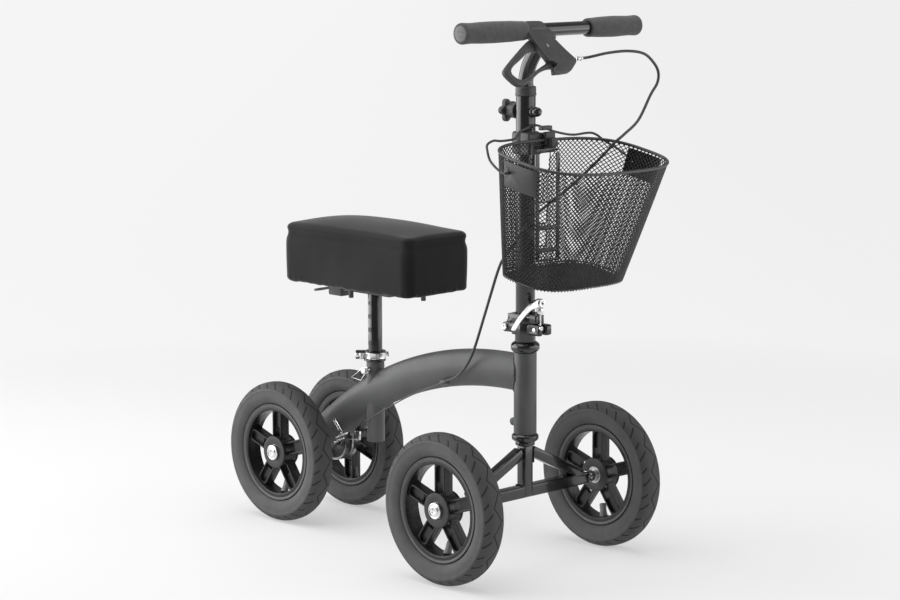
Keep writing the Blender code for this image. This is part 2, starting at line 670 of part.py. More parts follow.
def add_axle_bolts(steering):
    """Axle bolts with a spacer, a washer and a socket head, fixed in the rear tube and the front beam."""
    ends = (
        ("rear", "left", 0.0, REAR_AXLE_TUBE_LEFT_Y, REAR_WHEEL_Y, None),
        ("rear", "right", 0.0, -REAR_AXLE_TUBE_RIGHT_Y, REAR_WHEEL_Y, None),
        ("front", "left", WHEELBASE, BEAM_HALF_LENGTH, FRONT_WHEEL_Y, steering),
        ("front", "right", WHEELBASE, BEAM_HALF_LENGTH, FRONT_WHEEL_Y, steering),
    )
    for end, side, x, start, centre, carrier in ends:
        seat = centre - HUB_HALF_WIDTH - GAP
        face = centre + HUB_HALF_WIDTH + GAP
        tip = face + AXLE_WASHER + AXLE_HEAD
        profile = [
            (0.0, tip - 0.0016), (0.0036, tip - 0.0016), (0.0040, tip),
            (AXLE_HEAD_RADIUS, tip), (AXLE_HEAD_RADIUS, face + AXLE_WASHER),
            (AXLE_WASHER_RADIUS, face + AXLE_WASHER), (AXLE_WASHER_RADIUS, face), (AXLE_RADIUS, face),
            (AXLE_RADIUS, seat), (AXLE_SPACER_RADIUS, seat), (AXLE_SPACER_RADIUS, start + GAP), (0.0, start + GAP),
        ]
        sign = 1 if side == "left" else -1
        matrix = turn_to(Y_AXIS * sign, (x, 0.0, WHEEL_RADIUS))
        add_piece(f"axle_bolt_{end}_{side}", turned_mesh("axle_bolt", profile, 12), SILVER, carrier, matrix)


def arch_route():
    """Centre line of the main tube, from the head tube back and down to the rear axle."""
    centre = Vector((ARCH_FLAT_END_X, ARCH_TOP_Z - ARCH_RADIUS))
    points = [Vector((STEER_X, 0.0, ARCH_TOP_Z))]
    for k in range(ARCH_STEPS + 1):
        angle = ARCH_TURN * k / ARCH_STEPS
        points.append(Vector((centre.x - ARCH_RADIUS * math.sin(angle), 0.0,
                              centre.y + ARCH_RADIUS * math.cos(angle))))
    last = points[-1]
    run = last.x / math.cos(ARCH_TURN)
    points.append(last - Vector((math.cos(ARCH_TURN), 0.0, math.sin(ARCH_TURN))) * run)
    return points


def arch_mesh(name, shrink, reach):
    """The arch's oval section swept along its centre line, with its ends moved out by a reach."""
    route = arch_route()
    route[0] = route[0] + (route[0] - route[1]).normalized() * reach
    route[-1] = route[-1] + (route[-1] - route[-2]).normalized() * reach
    oval = [((ARCH_WIDTH / 2 - shrink) * math.cos(t), (ARCH_HEIGHT / 2 - shrink) * math.sin(t))
            for t in (2 * math.pi * k / ARCH_SIDES for k in range(ARCH_SIDES))]
    section = curve_object(name + "_section", [oval], cyclic=True)
    section.data.use_fill_caps = False
    path = curve_object(name, [[tuple(p) for p in route]])
    path.data.bevel_mode = "OBJECT"
    path.data.bevel_object = section
    path.data.use_fill_caps = True
    path.data.twist_mode = "Z_UP"
    mesh = baked(path)
    bpy.data.objects.remove(section, do_unlink=True)
    bm = bmesh.new()
    bm.from_mesh(mesh)
    bmesh.ops.recalc_face_normals(bm, faces=bm.faces)
    bm.to_mesh(mesh)
    bm.free()
    return mesh


def add_frame():
    """The welded frame: arch, head tube, seat tube and rear axle tube."""
    arch = add_piece("arch_tube", arch_mesh("arch_tube", 0.0, -0.0030), GREY_PAINT)
    join(arch, box_mesh("stop", CABLE_STOP_SIZE, 0.0012), Matrix.Translation(CABLE_STOP + Vector((0, 0.004, 0)))
         @ Matrix.Rotation(-math.radians(22), 4, "Y"))
    cut(arch, arch_mesh("arch_bore", ARCH_WALL, 0.01), Matrix())
    cut(arch, cylinder_mesh("head", HEAD_TUBE_RADIUS + GAP, 0.2, 24), Matrix.Translation((STEER_X, 0, ARCH_TOP_Z)))
    cut(arch, cylinder_mesh("seat", SEAT_TUBE_RADIUS + GAP, 0.3, 24), Matrix.Translation((SEAT_X, 0, 0.24)))
    cut(arch, cylinder_mesh("axle", REAR_AXLE_TUBE_RADIUS + GAP, 0.1, 24), turn_to(Y_AXIS, (0, 0, WHEEL_RADIUS)))
    wire_way = Vector((1.0, 0.0, 0.41)).normalized() * 0.02
    bored(arch, CABLE_STOP_HOLE, CABLE_STOP - wire_way, CABLE_STOP + wire_way, sides=10)

    bore = HEAD_TUBE_RADIUS - HEAD_TUBE_WALL
    wall = [(HEAD_TUBE_RADIUS, HEAD_TUBE_HIGH_Z), (HEAD_TUBE_RADIUS, HEAD_TUBE_LOW_Z),
            (bore, HEAD_TUBE_LOW_Z), (bore, HEAD_TUBE_HIGH_Z)]
    head = add_piece("head_tube", turned_mesh("head_tube", wall, 24, True), GREY_PAINT,
                     matrix=Matrix.Translation((STEER_X, 0, 0)))
    lug = cylinder_mesh("lug", STOP_LUG_RADIUS, STOP_LUG_WIDTH, 16)
    join(head, lug, turn_to(Y_AXIS, (STEER_X - HEAD_TUBE_RADIUS - 0.0048, 0, STOP_LUG_Z)))

    tube = [(SEAT_TUBE_RADIUS, SEAT_TUBE_TOP_Z), (SEAT_TUBE_RADIUS, SEAT_TUBE_LOW_Z),
            (SEAT_TUBE_BORE, SEAT_TUBE_LOW_Z), (SEAT_TUBE_BORE, SEAT_TUBE_TOP_Z)]
    seat = add_piece("seat_tube", turned_mesh("seat_tube", tube, 24, True), GREY_PAINT,
                     matrix=Matrix.Translation((SEAT_X, 0, 0)))
    bored(seat, SEAT_HOLE_RADIUS, (SEAT_X, -0.03, LOCK_PIN_Z), (SEAT_X, 0.03, LOCK_PIN_Z))

    length = REAR_AXLE_TUBE_LEFT_Y - REAR_AXLE_TUBE_RIGHT_Y
    middle = (REAR_AXLE_TUBE_LEFT_Y + REAR_AXLE_TUBE_RIGHT_Y) / 2
    add_piece("rear_axle_tube", cylinder_mesh("rear_axle_tube", REAR_AXLE_TUBE_RADIUS, length, 24), GREY_PAINT,
              matrix=turn_to(Y_AXIS, (0, middle, WHEEL_RADIUS)))


def add_headset():
    """The two headset cups pressed on the head tube's ends."""
    bore = STEERER_RADIUS + RUNNING
    low, high = HEAD_TUBE_HIGH_Z + GAP, UPPER_CUP_TOP_Z
    upper = [(UPPER_CUP_RADIUS - 0.005, high), (UPPER_CUP_RADIUS - 0.001, high - 0.0035),
             (UPPER_CUP_RADIUS, (low + high) / 2), (UPPER_CUP_RADIUS - 0.001, low + 0.0035),
             (UPPER_CUP_RADIUS - 0.0045, low), (bore, low), (bore, high)]
    add_piece("upper_headset_cup", turned_mesh("upper_headset_cup", upper, 24, True), BLACK_GLOSS,
              matrix=Matrix.Translation((STEER_X, 0, 0)))
    low, high = LOWER_CUP_LOW_Z + GAP, HEAD_TUBE_LOW_Z - GAP
    lower = [(LOWER_CUP_RADIUS - 0.003, high), (LOWER_CUP_RADIUS, high - 0.003),
             (LOWER_CUP_RADIUS, low + 0.004), (LOWER_CUP_RADIUS - 0.005, low), (bore, low), (bore, high)]
    add_piece("lower_headset_cup", turned_mesh("lower_headset_cup", lower, 24, True), BLACK_GLOSS,
              matrix=Matrix.Translation((STEER_X, 0, 0)))


def add_front_axle(steering):
    """The steerer tube with its crown, and the welded beam, post and struts of the front axle."""
    top = CLAMP_LOW_Z + 0.004
    steerer = [(STEERER_RADIUS, top), (STEERER_RADIUS, LOWER_CUP_LOW_Z - GAP), (CROWN_RADIUS, LOWER_CUP_LOW_Z - GAP),
               (CROWN_RADIUS, CROWN_LOW_Z), (STEERER_BORE, CROWN_LOW_Z), (STEERER_BORE, top)]
    add_piece("steerer_tube", turned_mesh("steerer_tube", steerer, 24, True), BLACK_GLOSS, steering,
              Matrix.Translation((STEER_X, 0, 0)))
    low = WHEEL_RADIUS - AXLE_BEAM / 2 + 0.001
    post = (CROWN_LOW_Z - GAP - low)
    frame = add_piece("front_axle_frame", box_mesh("front_axle_frame", (AXLE_BEAM, 2 * BEAM_HALF_LENGTH, AXLE_BEAM),
                      0.0018), BLACK_GLOSS, steering, Matrix.Translation((WHEELBASE, 0, WHEEL_RADIUS)))
    join(frame, box_mesh("post", (AXLE_BEAM, AXLE_BEAM, post), 0.0018),
         Matrix.Translation((STEER_X, 0, low + post / 2)), steering)
    for side in (-1, 1):
        head = Vector((STEER_X, side * STRUT_TOP.x, STRUT_TOP.y))
        foot = Vector((WHEELBASE, side * STRUT_FOOT.x, STRUT_FOOT.y))
        tilt = math.atan2(head.z - foot.z, side * (foot.y - head.y))
        bar = box_mesh("strut", (STRUT, (head - foot).length, STRUT), 0.0016)
        join(frame, bar, Matrix.Translation((head + foot) / 2) @ Matrix.Rotation(-side * tilt, 4, "X"), steering)


def add_fold_clamp(steering, fold):
    """The two halves of the folding clamp, joined by the hinge pin behind the column."""
    lower = add_piece("lower_clamp_block", cylinder_mesh("lower_clamp_block", across(CLAMP_RADIUS, 8),
                      CLAMP_SPLIT_Z - CLAMP_LOW_Z, 8), BLACK_GLOSS, steering,
                      Matrix.Translation((STEER_X, 0, (CLAMP_SPLIT_Z + CLAMP_LOW_Z) / 2))
                      @ Matrix.Rotation(math.pi / 8, 4, "Z"))
    neck = cylinder_mesh("neck", NECK_RADIUS, 0.014, 24)
    join(lower, neck, Matrix.Translation((STEER_X, 0, UPPER_CUP_TOP_Z + GAP + 0.007)), steering)
    rear = FOLD_PIN_X
    lug = cylinder_mesh("lug", KNUCKLE_RADIUS, 2 * LUG_OUTER_Y, 16)
    join(lower, lug, turn_to(Y_AXIS, (rear, 0, FOLD_PIN_Z)), steering)
    shelf = box_mesh("shelf", (0.016, 2 * LUG_OUTER_Y - 0.0008, 0.0153), 0.0010)
    join(lower, shelf, Matrix.Translation((rear + 0.009, 0, FOLD_PIN_Z - 0.0005)), steering)
    for inner, outer in ((NEAR_LUG_Y, -ROD_SLOT_HALF), (ROD_SLOT_HALF, FAR_LUG_Y)):
        fork = box_mesh("fork", (FORK_FRONT_X - 0.548, outer - inner, FORK_HEIGHT), 0.0022)
        join(lower, fork, Matrix.Translation(((FORK_FRONT_X + 0.548) / 2, (inner + outer) / 2, FOLD_PIN_Z - 0.0008)),
             steering)
    socket = cylinder_mesh("socket", STEERER_RADIUS + GAP, 0.040, 24)
    cut(lower, socket, Matrix.Translation((STEER_X, 0, CLAMP_LOW_Z + 0.004 + GAP - 0.020)), steering)
    slot = 2 * (KNUCKLE_HALF_WIDTH + GAP)
    knuckle_room = cylinder_mesh("room", KNUCKLE_RADIUS + 0.0008, slot, 16)
    cut(lower, knuckle_room, turn_to(Y_AXIS, (rear, 0, FOLD_PIN_Z)), steering)
    room = box_mesh("room", (0.016, slot + 0.0004, 0.020))
    cut(lower, room, Matrix.Translation((rear - 0.002, 0, FOLD_PIN_Z + 0.010)),
        steering)
    hole = FOLD_PIN_RADIUS + GAP
    bored(lower, hole, (rear, -0.04, FOLD_PIN_Z), (rear, 0.04, FOLD_PIN_Z), steering)
    bored(lower, ROD_PIN_RADIUS + GAP, (ROD_X, -0.04, ROD_PIN_Z), (ROD_X, 0.015, ROD_PIN_Z), steering)

    height = CLAMP_TOP_Z - CLAMP_SPLIT_Z - GAP
    upper = add_piece("upper_clamp_block", cylinder_mesh("upper_clamp_block", across(CLAMP_RADIUS - 0.001, 8), height,
                      8), BLACK_GLOSS, fold, Matrix.Translation((STEER_X, 0, CLAMP_TOP_Z - height / 2))
                      @ Matrix.Rotation(math.pi / 8, 4, "Z"))
    knuckle = cylinder_mesh("knuckle", KNUCKLE_RADIUS, 2 * KNUCKLE_HALF_WIDTH, 16)
    join(upper, knuckle, turn_to(Y_AXIS, (rear, 0, FOLD_PIN_Z)), fold)
    web_low = CLAMP_SPLIT_Z + GAP
    web = box_mesh("web", (0.020, 2 * KNUCKLE_HALF_WIDTH, 0.0120))
    join(upper, web, Matrix.Translation((rear + 0.0045, 0, web_low + 0.0060)), fold)
    stem = box_mesh("stem", (0.0140, 2 * KNUCKLE_HALF_WIDTH, web_low + 0.001 - FOLD_PIN_Z))
    join(upper, stem, Matrix.Translation((rear - 0.0012, 0, (web_low + 0.001 + FOLD_PIN_Z) / 2)), fold)
    lug = box_mesh("lug", (UPPER_LUG_FRONT_X - UPPER_LUG_REAR_X, 2 * ROD_SLOT_HALF + 0.014, height), 0.0016)
    join(upper, lug, Matrix.Translation(((UPPER_LUG_FRONT_X + UPPER_LUG_REAR_X) / 2, 0, CLAMP_TOP_Z - height / 2)),
         fold)
    slot_cut = box_mesh("slot", (0.024, 2 * ROD_SLOT_HALF, 0.040))
    cut(upper, slot_cut, Matrix.Translation((ROD_X + 0.0085, 0, CLAMP_TOP_Z)), fold)
    socket = cylinder_mesh("socket", COLUMN_RADIUS + GAP, 0.040, 24)
    cut(upper, socket, Matrix.Translation((STEER_X, 0, COLUMN_LOW_Z - GAP + 0.020)), fold)
    bored(upper, hole, (rear, -0.04, FOLD_PIN_Z), (rear, 0.04, FOLD_PIN_Z), fold)

    tip = FOLD_PIN_HALF_LENGTH
    pin = [(0.0, tip), (0.0050, tip), (0.0056, tip - 0.0010), (0.0056, LUG_OUTER_Y + GAP),
           (FOLD_PIN_RADIUS, LUG_OUTER_Y + GAP), (FOLD_PIN_RADIUS, -LUG_OUTER_Y - GAP),
           (0.0056, -LUG_OUTER_Y - GAP), (0.0056, 0.0010 - tip), (0.0050, -tip), (0.0, -tip)]
    add_piece("fold_hinge_pin", turned_mesh("fold_hinge_pin", pin, 12), SILVER, steering,
              turn_to(Y_AXIS, (rear, 0, FOLD_PIN_Z)))


def add_quick_release(rod_axis, lever_axis):
    """The quick release: a rod on a cross pin in the lower fork, and the cam lever on its top."""
    top = CAM_Z
    rod = add_piece("quick_release_rod", cylinder_mesh("quick_release_rod", ROD_RADIUS, top - ROD_PIN_Z, 12), SILVER,
                    rod_axis, Matrix.Translation((ROD_X, 0, (top + ROD_PIN_Z) / 2)))
    cross_pin = cylinder_mesh("pin", ROD_PIN_RADIUS, 0.0275, 12)
    join(rod, cross_pin, turn_to(Y_AXIS, (ROD_X, -0.0012, ROD_PIN_Z)), rod_axis)
    join(rod, cylinder_mesh("cam_pin", CAM_PIN_RADIUS, 2 * CAM_HALF_WIDTH, 12), turn_to(X_AXIS, (ROD_X, 0, CAM_Z)),
         rod_axis)
    seat = [(CAM_SEAT_RADIUS - 0.0012, CAM_Z - CAM_RADIUS - 0.0006), (CAM_SEAT_RADIUS, CAM_Z - CAM_RADIUS - 0.0018),
            (CAM_SEAT_RADIUS, CLAMP_TOP_Z + GAP + 0.004), (CAM_SEAT_RADIUS - 0.0015, CLAMP_TOP_Z + GAP),
            (ROD_RADIUS - 0.0004, CLAMP_TOP_Z + GAP), (ROD_RADIUS - 0.0004, CAM_Z - CAM_RADIUS - 0.0006)]
    join(rod, turned_mesh("cam_seat", seat, 12, True), Matrix.Translation((ROD_X, 0, 0)), rod_axis)

    lever = add_piece("fold_lever", cylinder_mesh("fold_lever", CAM_RADIUS, 2 * CAM_HALF_WIDTH, 16), SILVER,
                      lever_axis, turn_to(X_AXIS, (ROD_X, 0, CAM_Z)))
    spine = smooth_route([(y, CAM_Z + z, 0.0) for y, z in LEVER_PATH], 8)
    upper, lower = [], []
    for k, point in enumerate(spine):
        ahead = (spine[min(k + 1, 7)] - spine[max(k - 1, 0)]).normalized()
        side = Vector((ahead.y, -ahead.x, 0.0)) * LEVER_THICKNESS / 2 * (1.0 - 0.35 * k / 7)
        upper.append((point + side)[:2])
        lower.append((point - side)[:2])
    arm = plate_mesh("arm", [upper + lower[::-1]], 2 * CAM_HALF_WIDTH)
    flat = Matrix(((0, 0, 1, ROD_X), (1, 0, 0, 0), (0, 1, 0, 0), (0, 0, 0, 1)))
    join(lever, arm, flat, lever_axis)
    room = box_mesh("room", (2 * ROD_RADIUS + 0.0016, 0.0150, 0.0150))
    cut(lever, room, Matrix.Translation((ROD_X, 0.0016, CAM_Z - 0.0046)), lever_axis)
    bored(lever, CAM_PIN_RADIUS + GAP, (ROD_X - 0.02, 0, CAM_Z), (ROD_X + 0.02, 0, CAM_Z), lever_axis, 12)


def add_column(fold, knob_axis):
    """The handlebar column, its plastic collar, and the height knob with its bolt and dome nut."""
    tube = [(COLUMN_RADIUS, COLUMN_TOP_Z), (COLUMN_RADIUS, COLUMN_LOW_Z),
            (COLUMN_BORE, COLUMN_LOW_Z), (COLUMN_BORE, COLUMN_TOP_Z)]
    column = add_piece("column_tube", turned_mesh("column_tube", tube, 24, True), BLACK_GLOSS, fold,
                       Matrix.Translation((STEER_X, 0, 0)))
    hole = KNOB_BOLT_RADIUS + BOLT_PLAY
    bored(column, hole, (STEER_X - 0.03, 0, KNOB_Z), (STEER_X + 0.03, 0, KNOB_Z), fold)
    low = COLUMN_TOP_Z + GAP
    collar = [(STEM_RADIUS + RUNNING + 0.0012, low + COLLAR_HEIGHT), (COLLAR_RADIUS - 0.0014, low + COLLAR_HEIGHT),
              (COLLAR_RADIUS, low + COLLAR_HEIGHT - 0.0014), (COLLAR_RADIUS, low),
              (STEM_RADIUS + RUNNING, low), (STEM_RADIUS + RUNNING, low + COLLAR_HEIGHT - 0.0014)]
    add_piece("column_collar", turned_mesh("column_collar", collar, 24, True), BLACK_PLASTIC, fold,
              Matrix.Translation((STEER_X, 0, 0)))
    lobes = []
    steps = KNOB_LOBES * 4
    for k in range(steps):
        angle = 2 * math.pi * k / steps
        radius = KNOB_RADIUS - KNOB_LOBE_DEPTH * (1 - math.cos(KNOB_LOBES * (angle + math.pi / 2))) / 2
        lobes.append((radius * math.cos(angle), radius * math.sin(angle)))
    wide = KNOB_FRONT_X - KNOB_REAR_X
    knob = add_piece("height_knob", plate_mesh("height_knob", [lobes], wide, 0.0015), BLACK_PLASTIC, knob_axis,
                     turn_to(X_AXIS, ((KNOB_FRONT_X + KNOB_REAR_X) / 2, 0, KNOB_Z)))
    boss_end = STEER_X - COLUMN_RADIUS - GAP
    boss = cylinder_mesh("boss", KNOB_BOSS_REAR_RADIUS, boss_end - KNOB_FRONT_X + 0.002, 16, KNOB_BOSS_RADIUS)
    join(knob, boss, turn_to(X_AXIS, ((boss_end + KNOB_FRONT_X - 0.002) / 2, 0, KNOB_Z)), knob_axis)
    bolt_end = STEER_X + COLUMN_RADIUS + GAP + NUT_LENGTH * 0.55
    bolt = cylinder_mesh("bolt", KNOB_BOLT_RADIUS, bolt_end - KNOB_FRONT_X, 12)
    join(knob, bolt, turn_to(X_AXIS, ((bolt_end + KNOB_FRONT_X) / 2, 0, KNOB_Z)), knob_axis)
    base = STEER_X + COLUMN_RADIUS + GAP
    dome = [(0.0, NUT_LENGTH), (NUT_RADIUS * 0.5, NUT_LENGTH - 0.001), (NUT_RADIUS * 0.85, NUT_LENGTH - 0.0045),
            (NUT_RADIUS, NUT_LENGTH - 0.009), (NUT_RADIUS, 0.0), (hole, 0.0), (hole, NUT_LENGTH * 0.6),
            (0.0, NUT_LENGTH * 0.6)]
    add_piece("knob_nut", turned_mesh("knob_nut", dome, 16), SILVER, fold, turn_to(X_AXIS, (base, 0, KNOB_Z)))


def add_handlebar(height):
    """The gooseneck stem, the straight bar and the two foam grips."""
    bar_axis = Vector((BAR_X, 0.0, BAR_Z))
    bend = [(STEER_X + x, y, z) for x, y, z in STEM_BEND] + [tuple(bar_axis)]
    route = [(STEER_X, 0, STEM_LOW_Z)] + [tuple(p) for p in smooth_route(bend, 7)]
    stem = add_piece("stem_tube", wire_mesh("stem_tube", route, STEM_RADIUS, resolution=4), BLACK_GLOSS, height)
    cut(stem, cylinder_mesh("bar", BAR_RADIUS + GAP, 0.08, 20), turn_to(Y_AXIS, bar_axis), height)
    keep = box_mesh("beyond", (0.06, 0.08, 0.04))
    forward = Vector((0.67, 0.0, 0.74)).normalized()
    cut(stem, keep, turn_to(forward, bar_axis + forward * 0.0145), height)
    for k in range(HEIGHT_HOLES):
        z = KNOB_Z - k * HEIGHT_HOLE_PITCH
        bored(stem, KNOB_BOLT_RADIUS + BOLT_PLAY, (STEER_X - 0.03, 0, z), (STEER_X + 0.03, 0, z), height, 8)
    add_piece("handlebar", cylinder_mesh("handlebar", BAR_RADIUS, 2 * BAR_HALF_LENGTH, 20), BLACK_GLOSS, height,
              turn_to(Y_AXIS, bar_axis))
    for side, sign, inner in (("left", 1, GRIP_LEFT_INNER_Y), ("right", -1, -GRIP_RIGHT_INNER_Y)):
        tip = GRIP_END_Y
        floor = BAR_HALF_LENGTH + GAP
        middle = (inner + tip) / 2
        profile = [(0.0, tip), (0.0158, tip), (0.01725, tip - 0.0020), (0.01635, tip - 0.020),
                   (0.0175, middle), (0.0158, inner + 0.012), (0.0153, inner), (GRIP_BORE, inner),
                   (GRIP_BORE, floor), (0.0, floor)]
        place = turn_to(Y_AXIS * sign, (BAR_X, 0, BAR_Z))
        add_piece(f"grip_{side}", turned_mesh("grip", profile, 16), FOAM, height, place)


def housing_frame():
    """Matrix of the brake housing's own plane: its x runs along the bar and its y down and forward."""
    normal = Y_AXIS.cross(HOUSING_DOWN)
    rows = [[Y_AXIS[i], HOUSING_DOWN[i], normal[i], (BAR_X, 0.0, BAR_Z)[i]] for i in range(3)]
    return Matrix(rows + [[0.0, 0.0, 0.0, 1.0]])


def rounded(outline, share=0.24):
    """An outline with its corners cut off at a share of each side."""
    points = [Vector(p) for p in outline]
    softer = []
    for a, b in zip(points, points[1:] + points[:1]):
        softer.append(a.lerp(b, share))
        softer.append(a.lerp(b, 1 - share))
    return [tuple(p) for p in softer]


def add_hand_brake(height, lever_axis):
    """The brake housing on the bar, its loop lever, pivot pin and cable adjuster."""
    plane = housing_frame()
    housing = add_piece("brake_housing", plate_mesh("brake_housing", [HOUSING_OUTLINE], HOUSING_THICKNESS, 0.0025),
                        BLACK_PLASTIC, height, plane)
    flat = box_mesh("flat", (0.140, 0.100, HOUSING_THICKNESS))
    cut(housing, flat, plane @ Matrix.Translation((0, HOUSING_STEP + 0.050, -HOUSING_FRONT - HOUSING_THICKNESS / 2)),
        height)
    bored(housing, BAR_RADIUS + GAP, (BAR_X, -0.09, BAR_Z), (BAR_X, 0.03, BAR_Z), height, 20)
    room = box_mesh("room", (0.070, 0.080, LEVER_SLOT))
    cut(housing, room, plane @ Matrix.Translation((-0.0530, 0.0123 + 0.040, 0)), height)
    stem_way = Vector((0.688, 0.0, 0.725))
    relief = cylinder_mesh("relief", STEM_RADIUS + 0.0012, 0.050, 20)
    cut(housing, relief, turn_to(stem_way, Vector((BAR_X, 0, BAR_Z)) - stem_way * 0.024), height)
    pin_way = Vector((LEVER_PIVOT.x, LEVER_PIVOT.y, 0.0))
    low = plane @ (pin_way - Vector((0, 0, 0.03)))
    high = plane @ (pin_way + Vector((0, 0, 0.03)))
    bored(housing, LEVER_PIN_RADIUS + GAP, low, high, height)

    loop = [rounded(HAND_LEVER_OUTLINE), rounded(HAND_LEVER_WINDOW)]
    lever = add_piece("brake_lever", plate_mesh("brake_lever", loop, HAND_LEVER_THICKNESS, 0.0022), BLACK_PLASTIC,
                      lever_axis, plane)
    bored(lever, LEVER_PIN_RADIUS + GAP, low, high, lever_axis)
    back = HOUSING_THICKNESS / 2
    pin = cylinder_mesh("lever_pivot_pin", LEVER_PIN_RADIUS, back + HOUSING_FRONT - 0.001, 12)
    middle = pin_way + Vector((0, 0, (back - HOUSING_FRONT) / 2))
    add_piece("lever_pivot_pin", pin, SILVER, height, plane @ Matrix.Translation(middle))
    start, end = ADJUSTER_START_Y, ADJUSTER_END_Y
    barrel = [(0.0, end), (CABLE_RADIUS + 0.0006, end), (ADJUSTER_RADIUS, end - 0.001),
              (ADJUSTER_RADIUS, end - 0.0045), (0.0026, end - 0.0050), (0.0026, start + 0.0035),
              (ADJUSTER_RADIUS, start + 0.0030), (ADJUSTER_RADIUS, start), (0.0, start)]
    place = Vector((BAR_X, 0.0, BAR_Z)) + HOUSING_DOWN * ADJUSTER_DOWN
    add_piece("barrel_adjuster", turned_mesh("barrel_adjuster", barrel, 12), SILVER, height, turn_to(Y_AXIS, place))


def add_brake_cable():
    """The brake cable: its black housing from the hand brake to the frame, then the bare wire."""
    outer = smooth_route(CABLE_OUTER_ROUTE, CABLE_OUTER_POINTS)
    wire = smooth_route(CABLE_WIRE_ROUTE, CABLE_WIRE_POINTS)
    thin = WIRE_RADIUS / CABLE_RADIUS
    with_size = [(*p, 1.0) for p in outer] + [(*p, thin) for p in wire]
    add_piece("brake_cable", wire_mesh("brake_cable", with_size, CABLE_RADIUS), BLACK_PLASTIC)


def basket_outline(share, inset=0.0):
    """The basket's outline at a share of its height, from the floor at 0 to the rim at 1."""
    depth = FLOOR_HALF_DEPTH + (RIM_HALF_DEPTH - FLOOR_HALF_DEPTH) * share - inset
    span = FLOOR_HALF_SPAN + (RIM_HALF_SPAN - FLOOR_HALF_SPAN) * share - inset
    power = FLOOR_POWER + (RIM_POWER - FLOOR_POWER) * share
    rear_z = FLOOR_REAR_Z + (RIM_REAR_Z - FLOOR_REAR_Z) * share
    rear_x = BASKET_FLOOR_REAR_X + (BASKET_REAR_X - BASKET_FLOOR_REAR_X) * share

    def point(turn):
        c, s = math.cos(turn), math.sin(turn)
        x = inset + depth + depth * math.copysign(abs(c) ** (2 / power), c)
        y = span * math.copysign(abs(s) ** (2 / power), s)
        return Vector((rear_x + x, y, rear_z + BASKET_SLOPE * x))

    return point


def add_basket(basket, button):
    """The basket's shell with its rim wire, the wire frame on its rear wall and the two side plates."""
    bm = bmesh.new()
    turns = [2 * math.pi * (k + 0.5) / BASKET_SIDES for k in range(BASKET_SIDES)]
    rings = []
    for share, inset in ((0.0, 0.030), (0.0, 0.004), (0.02, 0.0), (0.5, 0.0), (1.0, 0.0)):
        outline = basket_outline(share, inset)
        rings.append([bm.verts.new(outline(t)) for t in turns])
    bm.faces.new(rings[0][::-1])
    for low, high in zip(rings, rings[1:]):
        for k in range(BASKET_SIDES):
            n = (k + 1) % BASKET_SIDES
            bm.faces.new((low[k], low[n], high[n], high[k]))
    shell = add_piece("basket_shell", mesh_from_bmesh("basket_shell", bm), WIRE_MESH, basket)
    wall = shell.modifiers.new("wall", "SOLIDIFY")
    wall.thickness = BASKET_WALL
    wall.offset = -1.0
    rim_line = basket_outline(1.0, BASKET_WALL / 2)
    rim_wire = wire_mesh("rim_wire", [tuple(rim_line(t)) for t in turns], RIM_WIRE, cyclic=True, resolution=1)
    join(shell, rim_wire, Matrix(), basket)
    for near, far, low, high in BASKET_WINDOWS:
        opening = box_mesh("window", (0.020, far - near, high - low))
        cut(shell, opening, Matrix.Translation((BASKET_REAR_X - 0.004, (near + far) / 2, (low + high) / 2)), basket)

    low, high = BASKET_FRAME_BARS[0], BASKET_FRAME_BARS[-1]
    corner = 0.004
    foot = BASKET_REAR_X + BASKET_WALL + BASKET_FRAME_WIRE + GAP
    legs = [(foot, -BASKET_FRAME_HALF, low), (BASKET_FRAME_X - corner, -BASKET_FRAME_HALF, low),
            (BASKET_FRAME_X, -BASKET_FRAME_HALF, low + corner),
            (BASKET_FRAME_X, -BASKET_FRAME_HALF, high - corner), (BASKET_FRAME_X, corner - BASKET_FRAME_HALF, high),
            (BASKET_FRAME_X, BASKET_FRAME_HALF - corner, high), (BASKET_FRAME_X, BASKET_FRAME_HALF, high - corner),
            (BASKET_FRAME_X, BASKET_FRAME_HALF, low + corner), (BASKET_FRAME_X - corner, BASKET_FRAME_HALF, low),
            (foot, BASKET_FRAME_HALF, low)]
    wires = wire_mesh("basket_frame", legs, BASKET_FRAME_WIRE, resolution=1)
    frame = add_piece("basket_frame", wires, WIRE_MESH, basket)
    for z in BASKET_FRAME_BARS[1:-1]:
        bar = cylinder_mesh("bar", BASKET_FRAME_WIRE * 0.9, 2 * BASKET_FRAME_HALF, 10)
        join(frame, bar, turn_to(Y_AXIS, (BASKET_FRAME_X, 0, z)), basket)
    add_basket_hook(frame, basket, button)

    for side, sign in (("left", 1), ("right", -1)):
        bm = bmesh.new()
        rows = []
        fall = PLATE_DROP / (RIM_REAR_Z - FLOOR_REAR_Z)
        out = PLATE_THICKNESS / 2 + LOOSE
        for share in (PLATE_TOP_SHARE, PLATE_TOP_SHARE - fall / 2, PLATE_TOP_SHARE - fall):
            outline = basket_outline(share, -out - GAP)
            turn = [math.pi / 2 - 0.02 + PLATE_HALF_TURN * k / 2 for k in range(-2, 3)]
            rows.append([bm.verts.new(Vector((outline(t).x, sign * outline(t).y, outline(t).z))) for t in turn])
        for a, b in zip(rows, rows[1:]):
            for k in range(4):
                bm.faces.new((a[k], a[k + 1], b[k + 1], b[k]))
        plate = add_piece(f"basket_plate_{side}", mesh_from_bmesh("plate", bm), WIRE_MESH, basket)
        thick = plate.modifiers.new("thickness", "SOLIDIFY")
        thick.thickness = PLATE_THICKNESS
        thick.offset = 0.0
        bored(plate, BAIL_RADIUS + LOOSE, (BAIL_PIVOT.x, sign * 0.13, BAIL_PIVOT.z),
              (BAIL_PIVOT.x, sign * 0.17, BAIL_PIVOT.z), basket, 12)


